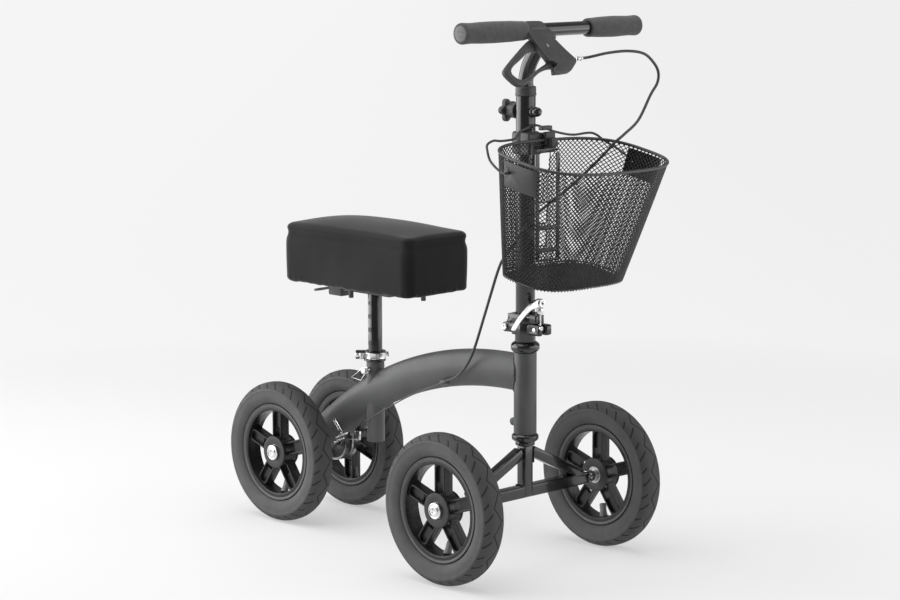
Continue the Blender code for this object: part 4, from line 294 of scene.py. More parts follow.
def scaled(colour, factor):
    return [c * factor for c in colour]


@kept("grey_paint")
def grey_powder_coat():
    """Dark grey satin powder coat: orange peel and faint clouding."""
    grey = colours().frame_grey
    f = Finish(grey, 0.40, specular=0.35)
    f.shade(f.noise(14.0, 4.0).ramp(0.35, 0.7), scaled(grey, 0.88), scaled(grey, 1.14))
    f.wear(60.0, 0.36, 0.48)
    f.bump(f.noise(900.0), 0.10, 0.0004)
    return f


@kept("black_paint")
def black_gloss_paint():
    """Black gloss enamel with a faint orange peel and fine dust."""
    black = colours().gloss_black
    f = Finish(black, 0.20, coat=0.60, coat_roughness=0.08)
    dust = f.noise(420.0, 2.0, 0.7).ramp(0.66, 0.78)
    f.shade(dust, black, [c + 0.018 for c in black])
    f.feed("Roughness", f.clouds(45.0, 3.0, 0.17, 0.27) + dust * 0.2)
    f.bump(f.noise(380.0, 1.0), 0.05, 0.0003)
    return f


@kept("silver_metal")
def polished_silver():
    """Polished plated steel with fine drawn lines and small dull spots."""
    f = Finish((0.72, 0.72, 0.72), 0.20, metallic=1.0)
    spots = f.noise(240.0, 3.0, 0.6)
    f.shade(spots.ramp(0.55, 0.75), (0.78, 0.78, 0.78), (0.56, 0.56, 0.56))
    f.feed("Roughness", spots.ramp(0.3, 0.75, 0.14, 0.34))
    f.bump(f.noise(1.0, 3.0, 0.6, f.stretched((300.0, 300.0, 3200.0))), 0.05)
    return f


@kept("silver_metal")
def dull_zinc():
    """Zinc-plated steel gone slightly dull, for hardware on the brake and bearings."""
    f = Finish((0.42, 0.42, 0.42), 0.36, metallic=1.0)
    f.shade(f.cells(160.0).ramp(0.2, 0.7), (0.50, 0.50, 0.50), (0.32, 0.32, 0.33))
    f.wear(90.0, 0.28, 0.46, 4.0)
    f.bump(f.noise(700.0), 0.08)
    return f


@kept("black_plastic")
def moulded_plastic():
    """Black moulded plastic with a fine spark-eroded grain."""
    f = Finish((0.056, 0.056, 0.057), 0.42, specular=0.40)
    f.shade(f.clouds(30.0), (0.048, 0.048, 0.049), (0.064, 0.064, 0.065))
    f.wear(120.0, 0.36, 0.52)
    f.bump(f.cells(1500.0), 0.16, 0.0003)
    return f


@kept("button_plastic")
def button_plastic():
    """Grey moulded plastic of the basket's release button."""
    f = Finish((0.055, 0.055, 0.057), 0.42, specular=0.40)
    f.wear(150.0, 0.36, 0.50)
    f.bump(f.cells(1400.0), 0.14, 0.0003)
    return f


@kept("rim_plastic")
def rim_plastic():
    """Black satin plastic of the wheel rims, a little lighter where it is scuffed."""
    f = Finish((0.014, 0.014, 0.0145), 0.30, specular=0.42)
    f.shade(f.noise(70.0, 5.0, 0.65).ramp(0.55, 0.75), (0.011, 0.011, 0.0115), (0.022, 0.022, 0.023))
    f.wear(160.0, 0.24, 0.40)
    f.bump(f.noise(900.0, 1.0), 0.06)
    return f


@kept("rim_plastic")
def rim_lip_plastic():
    """The dished lip, worn to a dull grey."""
    grey = colours().rim_lip
    f = Finish(grey, 0.46, specular=0.40)
    f.shade(f.noise(55.0, 5.0, 0.6).ramp(0.35, 0.75), scaled(grey, 0.84), scaled(grey, 1.18))
    f.wear(200.0, 0.40, 0.54)
    f.bump(f.noise(1200.0), 0.10)
    return f


@kept("tyre_rubber")
def tyre_rubber():
    """Grey-black rubber with a moulded tread: slanted cuts at the shoulders and a fine zigzag between them, painted
    near black as shade inside the grooves.
    """
    wall = colours().tyre
    f = Finish(wall, 0.72, specular=0.30)
    along = f.node("ShaderNodeUVMap", {"uv_map": "tread"})
    u = f.axis("X", along)
    v = f.axis("Y", along)
    cuts = sizes().tread_cuts
    off = abs(v)
    turns = u * cuts - off * 1.15 + v.below(0.0) * 0.5
    short = (turns * 0.5).part().below(0.5) * 0.22
    line = abs(turns.part() - 0.5).below(0.085) * (1.0 - off.below(0.36 + short)) * off.below(0.90)
    wave = abs((u * (cuts * 0.5)).part() - 0.5) * 1.1 - 0.275
    groove = line.larger(abs(v - wave).below(0.050))
    body = f.mix(f.clouds(30.0, 4.0), scaled(wall, 0.90), scaled(wall, 1.12))
    band = f.mix(off.below(0.93), body, scaled(wall, 0.66))
    # Painted shade: the grooves are painted near black, as if shaded inside; their depth comes only from the bump.
    f.shade(groove * 0.9, band, (0.012, 0.012, 0.013))
    f.wear(90.0, 0.62, 0.82)
    f.bump(f.noise(900.0) * 0.12 - groove, 0.9, 0.0010)
    return f


@kept("foam")
def grip_foam():
    """Closed-cell foam of the grips: dark, matte and finely pitted."""
    f = Finish((0.090, 0.090, 0.091), 0.92, specular=0.25, sheen=0.15)
    f.shade(f.clouds(110.0, 4.0), (0.080, 0.080, 0.081), (0.104, 0.104, 0.106))
    f.bump(f.cells(1100.0), 0.45, 0.0005)
    return f


@kept("cushion_cloth")
def cushion_cloth():
    """Stretch knit in black: fine ribs, lint and slight fading in patches."""
    black = colours().cloth
    f = Finish(black, 0.90, specular=0.18, sheen=0.30)
    ribs = f.node("ShaderNodeTexWave", {"wave_type": "BANDS", "bands_direction": "DIAGONAL"},
                  {"Vector": f.place, "Scale": 330.0, "Distortion": 1.2, "Detail": 1.0})
    weave = f.cells(1300.0)
    lint = f.noise(700.0, 2.0, 0.8).ramp(0.70, 0.80)
    tone = f.mix(f.clouds(9.0, 4.0), scaled(black, 0.82), scaled(black, 1.25))
    f.shade(lint * 0.35, tone, (0.05, 0.05, 0.052))
    f.feed("Roughness", weave.ramp(0.0, 0.8, 0.82, 0.96))
    f.bump(ribs * 0.5 + weave * 0.6, 0.35, 0.0005)
    return f


@kept("basket_wire")
def basket_paint():
    """Black dip coating on the basket's wire and mesh."""
    f = Finish((0.040, 0.040, 0.041), 0.36, specular=0.45)
    f.shade(f.clouds(25.0, 4.0), (0.034, 0.034, 0.035), (0.058, 0.058, 0.060))
    f.wear(260.0, 0.30, 0.46)
    f.bump(f.noise(800.0), 0.10)
    return f


@kept("basket_wire")
def plate_paint():
    """Satin dark coating on the basket's side plates and the wheels' hub faces."""
    f = Finish((0.030, 0.030, 0.031), 0.44, specular=0.40)
    f.shade(f.clouds(40.0, 4.0), (0.026, 0.026, 0.027), (0.036, 0.036, 0.037))
    f.wear(200.0, 0.38, 0.52)
    f.bump(f.noise(900.0), 0.08)
    return f


@kept("black_plastic")
def cable_jacket():
    """Smooth black plastic jacket of the brake cable."""
    f = Finish((0.036, 0.036, 0.037), 0.34, specular=0.45)
    f.wear(120.0, 0.28, 0.42)
    f.bump(f.noise(500.0), 0.06)
    return f


@kept("black_plastic")
def cable_wire():
    """The bare stranded wire, darkened by grease."""
    f = Finish((0.10, 0.10, 0.10), 0.42, metallic=0.8)
    f.wear(300.0, 0.32, 0.52)
    f.bump(f.noise(1.0, 2.0, 0.5, f.stretched((2600.0, 900.0, 2600.0))), 0.3, 0.0003)
    return f


@kept("foam")
def end_cap_plastic():
    """Pale grey plastic of the grip's end cap."""
    f = Finish((0.150, 0.150, 0.153), 0.50, specular=0.35)
    f.wear(200.0, 0.42, 0.58)
    f.bump(f.noise(900.0), 0.08)
    return f


@kept("tyre_rubber")
def valve_rubber():
    """Lighter grey rubber of the tyre valves."""
    f = Finish((0.22, 0.22, 0.22), 0.60, specular=0.35)
    f.wear(200.0, 0.50, 0.70)
    f.bump(f.noise(900.0), 0.10)
    return f


@kept(None)
def studio_floor():
    """The pale floor, which glows with painted light that lifts its shadows, is painted brighter to one side, and is
    painted dark towards the camera, where the black tubes mirror it.
    """
    tone = colours().floor
    f = Finish(tone, 0.9, specular=0.0)
    x, y = f.axis("X"), f.axis("Y")
    away = (x * x + y * y).ramp(0.5, 5.0)
    across = (x * 0.6945 + y * 0.7195).ramp(-1.3, 1.3)
    front = (x * 0.7195 - y * 0.6945).ramp(0.9, 2.6)
    # Painted light: near the walker the glow is a little brighter to the right, far away it is brighter to the left.
    near = f.mix(across, scaled(tone, 0.45), scaled(tone, 0.54))
    far_painted_glow = f.mix(across, scaled(tone, 1.045), scaled(tone, 0.988))
    # Painted shade: towards the camera the floor's colour and glow are painted dark. Far from the walker its lit colour
    # fades to near black, so only the glow is seen there.
    f.shade(front, f.mix(away, scaled(tone, 0.50), (0.02, 0.02, 0.02)), (0.10, 0.10, 0.10))
    # Painted light: an emission makes the floor glow, though it is no lamp.
    f.feed("Emission Color", f.mix(front, f.mix(away, near, far_painted_glow), (0.12, 0.12, 0.12)))
    f.surface.inputs["Emission Strength"].default_value = 1.0
    return f


def mesh_from(bm, outward=True, scale=1.0):
    """Write a bmesh to a new mesh, scaled if it was built in millimetres."""
    if outward:
        bmesh.ops.recalc_face_normals(bm, faces=bm.faces)
    mesh = bpy.data.meshes.new("part")
    bm.to_mesh(mesh)
    bm.free()
    if scale != 1.0:
        mesh.transform(Matrix.Scale(scale, 4))
    return mesh


def evaluated(holder):
    """The mesh that an object's curve or modifiers make. The object is removed."""
    bpy.context.scene.collection.objects.link(holder)
    bpy.context.view_layer.update()
    mesh = bpy.data.meshes.new_from_object(holder.evaluated_get(bpy.context.evaluated_depsgraph_get()))
    bpy.data.objects.remove(holder)
    return mesh


def at(*place):
    return Matrix.Translation(Vector(place[0] if len(place) == 1 else place) * MM)


def turn(degrees, axis="Z"):
    return Matrix.Rotation(math.radians(degrees), 4, axis)


def turned_to(axis, place=(0.0, 0.0, 0.0)):
    """A matrix that carries +Z onto an axis through a place."""
    return at(place) @ Z_AXIS.rotation_difference(Vector(axis).normalized()).to_matrix().to_4x4()


def oriented(x, y, z, place):
    """A matrix with the given axes through a place in metres."""
    rows = [[x[i], y[i], z[i], place[i]] for i in range(3)]
    return Matrix(rows + [[0.0, 0.0, 0.0, 1.0]])


def circle(radius, steps, centre=(0.0, 0.0), closed=False):
    """Points round a centre, the first again at the end if the circle is closed."""
    angles = [2 * math.pi * k / steps for k in range(steps + closed)]
    return [(centre[0] + radius * math.cos(t), centre[1] + radius * math.sin(t)) for t in angles]


def bevelled(bm, geom, offset, segments, affect):
    """Round edges or corners by an offset in millimetres."""
    bmesh.ops.bevel(bm, geom=geom, offset=offset * MM, offset_type="OFFSET", segments=segments, profile=0.5,
                    affect=affect, clamp_overlap=True, material=-1)


def turned(profile, steps=64, soft=0.5):
    """A turned mesh round Z: a profile of radius and height whose corners are rounded first.

    A profile with both ends off the axis is closed.
    """
    bm = bmesh.new()
    line = [bm.verts.new((r * MM, 0.0, z * MM)) for r, z in profile]
    for a, b in zip(line, line[1:]):
        bm.edges.new((a, b))
    if profile[0][0] > 0 and profile[-1][0] > 0:
        bm.edges.new((line[-1], line[0]))
    if soft > 0:
        corners = [v for v in line if len(v.link_edges) == 2 and v.co.x > soft * MM]
        bevelled(bm, corners, soft, 2, "VERTICES")
    bmesh.ops.spin(bm, geom=bm.verts[:] + bm.edges[:], cent=(0, 0, 0), axis=(0, 0, 1), dvec=(0, 0, 0),
                   angle=2 * math.pi, steps=steps, use_merge=True, use_normal_flip=False, use_duplicate=False)
    bmesh.ops.remove_doubles(bm, verts=bm.verts, dist=0.000001)
    return mesh_from(bm)


def block(size, soft=0.8, segments=3):
    """A box centred on its origin, with rounded edges."""
    bm = bmesh.new()
    bmesh.ops.create_cube(bm, size=1.0)
    bmesh.ops.scale(bm, vec=[s * MM for s in size], verts=bm.verts)
    bevelled(bm, bm.edges[:], soft, segments, "EDGES")
    return mesh_from(bm)


def curve_mesh(splines, cyclic, depth, resolution, flat=0.0, inset=0.0):
    """The mesh of a temporary curve: a wire with a round section, or a flat plate."""
    curve = bpy.data.curves.new("line", "CURVE")
    curve.dimensions = "2D" if flat else "3D"
    curve.bevel_depth = depth * MM
    curve.bevel_resolution = resolution
    curve.use_fill_caps = True
    if flat:
        curve.fill_mode = "BOTH"
        curve.extrude = flat * MM
        curve.offset = -inset * MM
    for points in splines:
        spline = curve.splines.new("POLY")
        spline.points.add(len(points) - 1)
        for target, point in zip(spline.points, points):
            target.co = (*(Vector(point).to_3d() * MM), 1.0)
        spline.use_cyclic_u = cyclic
    mesh = evaluated(bpy.data.objects.new("line", curve))
    bpy.data.curves.remove(curve)
    bm = bmesh.new()
    bm.from_mesh(mesh)
    bmesh.ops.remove_doubles(bm, verts=bm.verts, dist=0.000001)
    bpy.data.meshes.remove(mesh)
    return mesh_from(bm)


def wire(points, radius, sides=12, cyclic=False):
    """A round wire along points."""
    return curve_mesh([points], cyclic, radius, (sides - 4) // 2)


def slab(outlines, thickness, soft=0.8, segments=3):
    """A flat plate with the given outlines and rounded rims, the holes after the outer one."""
    return curve_mesh(outlines, True, soft, segments, thickness / 2 - soft, soft)


def refined(node, soft=0.5, angle=30.0):
    """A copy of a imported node's mesh, in the walker's own frame, with its edges rounded."""
    bm = bmesh.new()
    bm.from_mesh(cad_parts[node].data)
    bmesh.ops.remove_doubles(bm, verts=bm.verts, dist=0.000004)
    bmesh.ops.dissolve_limit(bm, angle_limit=math.radians(1.0), verts=bm.verts, edges=bm.edges)
    if soft > 0:
        sharp = [e for e in bm.edges if len(e.link_faces) == 2 and e.calc_face_angle(0.0) > math.radians(angle)]
        bevelled(bm, sharp, soft, 2, "EDGES")
    bmesh.ops.translate(bm, vec=-SHIFT, verts=bm.verts)
    return mesh_from(bm, outward=False)


def smooth_route(points, count, blend=0.5):
    """Points at even steps along a smooth curve through a route's own points."""
    route = [Vector(p) for p in points]
    ends = [2 * route[0] - route[1]] + route + [2 * route[-1] - route[-2]]
    fine = []
    for i in range(1, len(ends) - 2):
        a, b, c, d = ends[i - 1:i + 3]
        for k in range(24):
            t = k / 24
            tangent_in = (c - a) * blend
            tangent_out = (d - b) * blend
            fine.append((2 * t**3 - 3 * t**2 + 1) * b + (t**3 - 2 * t**2 + t) * tangent_in
                        + (-2 * t**3 + 3 * t**2) * c + (t**3 - t**2) * tangent_out)
    fine.append(route[-1])
    lengths = [0.0]
    for a, b in zip(fine, fine[1:]):
        lengths.append(lengths[-1] + (b - a).length)
    even = []
    where = 0
    for k in range(count):
        goal = lengths[-1] * k / (count - 1)
        while where < len(lengths) - 2 and lengths[where + 1] < goal:
            where += 1
        span = lengths[where + 1] - lengths[where]
        even.append(fine[where].lerp(fine[where + 1], (goal - lengths[where]) / span if span else 0.0))
    return even


def rounded(outline, share=0.24):
    """An outline with its corners cut off twice, until it is round."""
    points = [Vector(p) for p in outline]
    for _ in range(2):
        softer = []
        for a, b in zip(points, points[1:] + points[:1]):
            softer.append(a.lerp(b, share))
            softer.append(a.lerp(b, 1 - share))
        points = softer
    return points


def gather(parts):
    """One mesh from parts, each a mesh, or a mesh with its matrix and, if need be, the number of its finish."""
    bm = bmesh.new()
    for part in parts:
        part = part if isinstance(part, tuple) else (part,)
        mesh, matrix, number = part + (None, Matrix(), 0)[len(part):]
        start = len(bm.faces)
        copy = mesh.copy()
        copy.transform(matrix)
        if matrix.determinant() < 0:
            copy.flip_normals()
        bm.from_mesh(copy)
        bm.faces.ensure_lookup_table()
        for face in bm.faces[start:]:
            face.material_index = number
        bpy.data.meshes.remove(copy)
    return mesh_from(bm, outward=False)


def finish_piece(name, parts, body, finishes, stands_for=(), slot=None, sharp=38.0):
    """Make an object from its parts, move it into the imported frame, and let it ride on its body, if it has one."""
    mesh = gather(parts)
    mesh.name = name
    mesh.transform(Matrix.Translation(SHIFT))
    for finish in finishes:
        mesh.materials.append(finish())
    mesh.shade_smooth()
    mesh.set_sharp_from_angle(angle=math.radians(sharp))
    piece = bpy.data.objects.new(name, mesh)
    bpy.context.scene.collection.objects.link(piece)
    if stands_for:
        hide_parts(*stands_for)
    slot = slot or finishes[0].slot
    if body:
        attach(piece, body)
    return piece


def turned_piece(name, profile, place, body, finish, node, steps=64, soft=0.5, slot=None):
    """A piece that is one turned shape."""
    finish_piece(name, [(turned(profile, steps, soft), place)], body, [finish], [node], slot)


def refined_piece(name, node, body, finish, soft, sharp=40.0, angle=30.0):
    """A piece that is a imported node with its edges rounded."""
    finish_piece(name, [refined(node, soft, angle)], body, [finish], [node], sharp=sharp)


def paint(finish, *nodes):
    """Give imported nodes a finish."""
    for node in nodes:
        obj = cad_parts[node]
        if not obj.material_slots:
            obj.data.materials.append(finish())
        for slot in obj.material_slots:
            slot.material = finish()


STEERING = at(STEER_X, 0.0, 0.0)
SEAT_LINE = at(SEAT_X, 0.0, 0.0)


def colour_setting(name, description, *default):
    return FloatVectorProperty(name=name, description=description, subtype="COLOR", size=3, min=0.0, max=1.0,
                               default=default)


class WalkerColours(bpy.types.PropertyGroup):
    """Colours of the walker's finishes."""

    frame_grey: colour_setting("Frame grey", "Powder coat of the arch and tubes", 0.092, 0.093, 0.095)
    gloss_black: colour_setting("Gloss black", "Enamel of the column and front axle", 0.006, 0.006, 0.0063)
    tyre: colour_setting("Tyre", "Rubber of the tyres", 0.094, 0.094, 0.095)
    rim_lip: colour_setting("Rim lip", "Worn plastic of the rims' lips", 0.086, 0.087, 0.089)
    cloth: colour_setting("Cushion cloth", "Stretch cloth of the cushion", 0.014, 0.014, 0.0145)
    floor: colour_setting("Floor", "Studio floor", 0.87, 0.87, 0.87)


class WalkerSizes(bpy.types.PropertyGroup):
    """Sizes that shape the walker's details."""

    tread_cuts: IntProperty(name="Tread cuts", description="Slanted cuts round each side of a tyre", default=34,
                            min=12, max=80)
    mesh_columns: IntProperty(name="Mesh columns", description="Diamonds round the basket's wall", default=94, min=40,
                              max=140)
    mesh_rows: IntProperty(name="Mesh rows", description="Half rows of diamonds up the basket's wall", default=56,
                           min=20, max=90)
    strand: FloatProperty(name="Mesh strand", description="Thickness of the basket's strands", unit="LENGTH",
                          default=0.0023, min=0.0005, max=0.003, precision=4)
    hem_drop: FloatProperty(name="Hem ruffle", description="Depth of the gathers along the cushion's hem",
                            unit="LENGTH", default=0.0012, min=0.0, max=0.004, precision=4)


def tyre_mesh():
    """The tyre about Z: a rounded tread, a shoulder ridge and a bulged wall, with a map for its tread."""
    half = [(127, 0), (126.9, 4), (126.3, 8.5), (125, 12.5), (122.7, 16.3), (119.6, 19.3), (116.3, 21.2), (114, 22),
            (112.8, 22.4), (111.7, 22.1), (110, 21.8), (106, 22.2), (101, 21.8), (96.5, 20.4), (93, 18.4), (90.2, 16.2),
            (89.3, 14.2), (88.9, 12.6), (86.8, 11), (84.6, 10.6)]
    shoulder, half_width, drop, past_tread = 0.1128, 0.0222, 0.0142, 1.6
    mesh = turned(half[::-1] + [(r, -y) for r, y in half[1:]], 120, 0)
    bm = bmesh.new()
    bm.from_mesh(mesh)
    uv = bm.loops.layers.uv.new("tread")
    for face in bm.faces:
        middle = face.calc_center_median()
        base = math.atan2(middle.y, middle.x)
        for loop in face.loops:
            co = loop.vert.co
            angle = math.atan2(co.y, co.x)
            angle += round((base - angle) / (2 * math.pi)) * 2 * math.pi
            radius = math.hypot(co.x, co.y)
            out = past_tread
            if radius > shoulder:
                out = abs(co.z) / half_width * 0.80 + max(0.0, WHEEL_RADIUS * MM - radius) / drop * 0.20
            loop[uv].uv = (angle / (2 * math.pi), math.copysign(out, co.z))
    bm.to_mesh(mesh)
    bm.free()
    return mesh


def rim_parts(upright):
    """The rim about Z with +Z outside: a deep barrel, two dished lips, a hub and five channel spokes."""
    barrel = [(86.8, 11.8), (86.8, -11.8), (87.2, -15), (77.2, -15.5), (75.7, -14), (74.8, 0), (75.7, 14), (77.2, 15.5),
              (87.2, 15)]
    lip = turned([(87.7, 12.8), (87.7, 15.8), (86.6, 16.3), (84, 15.4), (80, 14.8), (77, 14.7), (76.2, 14),
                  (75.9, 12.8)], 96)
    hub = [(14.5, 16.8), (14.5, -16.8), (26.2, -16.8), (27.8, -15.5), (28.3, -12), (27, 0), (28.3, 12), (27.8, 15.5),
           (26.2, 16.8)]
    disc = turned([(14.8, 15), (14.8, 17.4), (28, 17.4), (29.1, 16.6), (29.2, 15)], 64, 0.2)
    faces = [upright @ Matrix.Scale(sign, 4, Z_AXIS) for sign in (1, -1)]
    parts = [(turned(barrel, 96, 0.4), upright)] + [(lip, face, 1) for face in faces]
    parts += [(turned(hub, 64, 0.6), upright)] + [(disc, face, 2) for face in faces]
    inner, outer, half, wall, end = 24.0, 76.5, 11.5, 3.0, 75.0
    room = half - wall
    arc = [(end - room + room * math.sin(a), -room * math.cos(a)) for a in map(math.radians, range(165, 14, -15))]
    outline = [(inner, -half), (outer, -half), (outer, half), (inner, half), (inner, room), (end - room, room)]
    channel = slab([outline + arc + [(end - room, -room), (inner, -room)]], 20, 0.7)
    web = block((31, 2 * room + 1, 8.6), 0.3, 1)
    rib = block((44, 0.9, 1.4), 0.3, 1)
    mark = block((9.5, 0.6, 0.8), 0.1, 1)
    for angle in (-84, -77, 52):
        for z in (-14.9, 14.9):
            parts.append((mark, upright @ turn(angle) @ at(81.5, 0, z)))
    for k in range(SPOKES):
        spoke = upright @ turn(360 * k / SPOKES - 90)
        parts += [(channel, spoke), (web, spoke @ at(60, 0, 0))]
        parts += [(rib, spoke @ at(50, side * half, 0), 2) for side in (-1, 1)]
    return parts


class WALKER_OT_wheels(bpy.types.Operator):
    """Build the four wheels: tyres, rims, valves and the heads of their axle bolts"""

    bl_idname = "walker.wheels"
    bl_label = "Wheels"

    def execute(self, context):
        tyre = tyre_mesh()
        washer = turned([(0, 0), (14, 0), (14, 3), (13.4, 4.2), (11.8, 4.4), (11.2, 3.4), (10, 3.4), (9.4, 5),
                         (7.6, 5.8), (4.6, 5.9), (4.2, 3.6), (0, 3.4)], 48, 0.3)
        stem = turned([(0, 0), (7.2, 0), (6.6, 4), (6, 7.5), (5.6, 13.5), (6, 14), (6, 20.5), (5.2, 22.2), (0, 22.4)],
                      24, 0.3)
        places = (("rear", "left", 0, REAR_WHEEL_Y, 36), ("rear", "right", 0, REAR_WHEEL_Y, 60),
                  ("front", "left", WHEELBASE, FRONT_WHEEL_Y, 150), ("front", "right", WHEELBASE, FRONT_WHEEL_Y, 150))
        for end, side, x, y, start in places:
            name = f"{end}_{side}"
            body = f"{name}_wheel"
            way = Y_AXIS if side == "left" else -Y_AXIS
            centre = Vector((x, 0, WHEEL_RADIUS)) + way * y
            upright = turned_to(Y_AXIS, centre)
            finish_piece(f"rubber_tyre_{name}", [(tyre, upright)], body, [tyre_rubber], [f"tyre_{name}"])
            spin = turn(180 / SPOKES if name == "rear_left" else 0)
            finish_piece(f"spoked_rim_{name}", rim_parts(upright @ spin), body,
                         [rim_plastic, rim_lip_plastic, plate_paint], [f"rim_{name}"], sharp=30)
            tip = turn(-62 if side == "right" else -90, "Y")
            finish_piece(f"valve_{name}", [(stem, upright @ turn(84) @ at(75.2, 0, 0) @ tip)], body, [valve_rubber])
            seat, tail = y - HUB_HALF_WIDTH - GAP, y + HUB_HALF_WIDTH
            tube = turned([(0, start + GAP), (10, start + GAP), (10, seat), (8, seat), (8, tail), (0, tail)], 40, 0.3)
            finish_piece(f"axle_{name}", [(washer, turned_to(way, centre + way * (HUB_HALF_WIDTH + GAP))),
                                          (tube, turned_to(way, (x, 0, WHEEL_RADIUS)))],
                         "frame" if end == "rear" else "front_axle", [polished_silver], [f"axle_bolt_{name}"])
            paint(dull_zinc, f"bearing_{name}")
        paint(dull_zinc, "brake_drum")
        return {"FINISHED"}


def arch_line():
    """Centre line of the main tube, from the head tube to the rear axle."""
    centre = Vector((ARCH_FLAT_END_X, 0.0, ARCH_TOP_Z - ARCH_RADIUS))
    points = [Vector((STEER_X - 6, 0.0, ARCH_TOP_Z))]
    for k in range(ARCH_STEPS + 1):
        angle = math.radians(ARCH_TURN * k / ARCH_STEPS)
        points.append(centre + Vector((-math.sin(angle), 0.0, math.cos(angle))) * ARCH_RADIUS)
    way = Vector((-math.cos(angle), 0.0, -math.sin(angle)))
    points.append(points[-1] + way * (points[-1].x / math.cos(angle) - 2))
    return points


def arch_body():
    """The arch: an oval section swept along its line by extruding and turning a ring."""
    points = arch_line()
    bm = bmesh.new()
    ring = [bm.verts.new((0.0, 18 * c, 32 * s)) for c, s in circle(1.0, 56)]
    loop = [bm.edges.new((a, b)) for a, b in zip(ring, ring[1:] + ring[:1])]
    bmesh.ops.translate(bm, vec=points[0], verts=ring)
    for i in range(1, len(points)):
        made = bmesh.ops.extrude_edge_only(bm, edges=loop)
        ring = [g for g in made["geom"] if isinstance(g, bmesh.types.BMVert)]
        loop = [g for g in made["geom"] if isinstance(g, bmesh.types.BMEdge)]
        bmesh.ops.translate(bm, vec=points[i] - points[i - 1], verts=ring)
        if 1 < i < len(points) - 1:
            bmesh.ops.rotate(bm, cent=points[i], matrix=turn(-ARCH_TURN / ARCH_STEPS, "Y").to_3x3(), verts=ring)
    bmesh.ops.holes_fill(bm, edges=[e for e in bm.edges if len(e.link_faces) < 2], sides=0)
    return mesh_from(bm, scale=MM)


def weld(points, radius):
    """A weld bead along points: a wire that swells at each ripple."""
    steps, swell, pace = 60, 0.22, 2.1
    route = smooth_route(points, steps)
    bm = bmesh.new()
    bm.from_mesh(wire(route, radius, 10))
    route = [p * MM for p in route]
    for v in bm.verts:
        near = min(range(steps), key=lambda i: (route[i] - v.co).length)
        v.co = route[near] + (v.co - route[near]) * (1.0 + swell * math.cos(near * pace))
    return mesh_from(bm)


class WALKER_OT_frame_tubes(bpy.types.Operator):
    """Build the grey frame: the arch with its cable stop, the head tube, seat tube and rear axle tube"""

    bl_idname = "walker.frame_tubes"
    bl_label = "Frame tubes"

    def execute(self, context):
        way = Vector((1.0, 0.0, 0.41))
        ferrule = turned([(0, -6), (3.4, -6), (3.4, 5), (0, 5)], 24)
        seam = []
        for y, z in circle(1.0, 40, closed=True):
            y *= 19.5
            x = STEER_X - math.sqrt(19.7 ** 2 - min(abs(y), 18.5) ** 2) - 0.4
            seam.append(Vector((x, y, ARCH_TOP_Z + 33.5 * z)))
        parts = [arch_body(), (block((10, 14, 9), 1.6), at(CABLE_STOP + Y_AXIS * 4) @ turn(-22, "Y")),
                 (ferrule, turned_to(way, CABLE_STOP + way.normalized() * 6)), weld(seam, 2.0)]
        finish_piece("arch", parts, "frame", [grey_powder_coat], ["arch_tube"])
        lug = turned([(0, 6), (6.8, 6), (6.8, -6), (0, -6)], 32, 0.8)
        head = turned([(19.25, 364.9), (19.25, 226.6), (16.8, 226.6), (16.8, 364.9)])
        finish_piece("head_tube_body", [(head, STEERING), (lug, turned_to(Y_AXIS, (STEER_X - 24.05, 0, 243.5)))],
                     "frame", [grey_powder_coat], ["head_tube"])
        turned_piece("seat_tube_body", [(16, 319.5), (16, 157.5), (13.1, 157.5), (13.1, 319.5)], SEAT_LINE, "frame",
                     grey_powder_coat, "seat_tube")
        turned_piece("rear_axle_tube_body", [(0, 48), (13.5, 48), (13.5, -48), (0, -48)],
                     turned_to(Y_AXIS, (0, -12, WHEEL_RADIUS)), "frame", grey_powder_coat, "rear_axle_tube", 48, 0.8)
        return {"FINISHED"}


class WALKER_OT_front_end(bpy.types.Operator):
    """Build the headset cups, the steerer and the welded front axle frame"""

    bl_idname = "walker.front_end"
    bl_label = "Front end"

    def execute(self, context):
        low, high = 365.2, 383.5
        upper = [(14.9, high), (18, high), (22.2, high - 2.8), (24.3, high - 6), (24.5, (low + high) / 2),
                 (24.3, low + 5.6), (22.5, low + 2.6), (19.8, low), (14.9, low)]
        turned_piece("upper_cup", upper, STEERING, "frame", black_gloss_paint, "upper_headset_cup", soft=0.6)
        low, high = 213.2, 226.3
        lower = [(14.9, high), (19.7, high), (22.75, high - 3), (22.75, low + 4), (20, low + 1.2), (17.8, low),
                 (14.9, low)]
        turned_piece("lower_cup", lower, STEERING, "frame", black_gloss_paint, "lower_headset_cup", soft=0.6)
        steerer = [(14.5, 401), (14.5, 212.6), (16.5, 212.6), (16.5, 206.9), (11.5, 206.9), (11.5, 401)]
        turned_piece("steerer", steerer, STEERING, "front_axle", black_gloss_paint, "steerer_tube")
        foot, post = 118, 88.6
        parts = [(block((20, 300, 20), 2.6), at(WHEELBASE, 0, WHEEL_RADIUS)),
                 (block((20, 20, post), 2.6), at(STEER_X, 0, foot + post / 2))]
        cap = block((17.6, 2.4, 17.6))
        for side in (-1, 1):
            head, end = Vector((STEER_X, side * 12, 195)), Vector((WHEELBASE, side * 133, 136))
            tilt = math.degrees(math.atan2(head.z - end.z, side * (end.y - head.y)))
            strut = block((18, (head - end).length, 18), 2.4)
            parts.append((strut, at((head + end) / 2) @ turn(-side * tilt, "X")))
            for x in (-9.8, 9.8):
                parts.append(weld([(STEER_X + x, side * 10.3, z) for z in (176, 184, 192, 200)], 1.5))
            parts.append(weld([(WHEELBASE + x, side * 10.4, 137) for x in (-9.5, 0, 9.5)], 1.5))
            parts.append((cap, at(WHEELBASE, side * 150.2, WHEEL_RADIUS), 1))
        finish_piece("front_axle_body", parts, "front_axle", [black_gloss_paint, moulded_plastic],
                     ["front_axle_frame"])
        return {"FINISHED"}


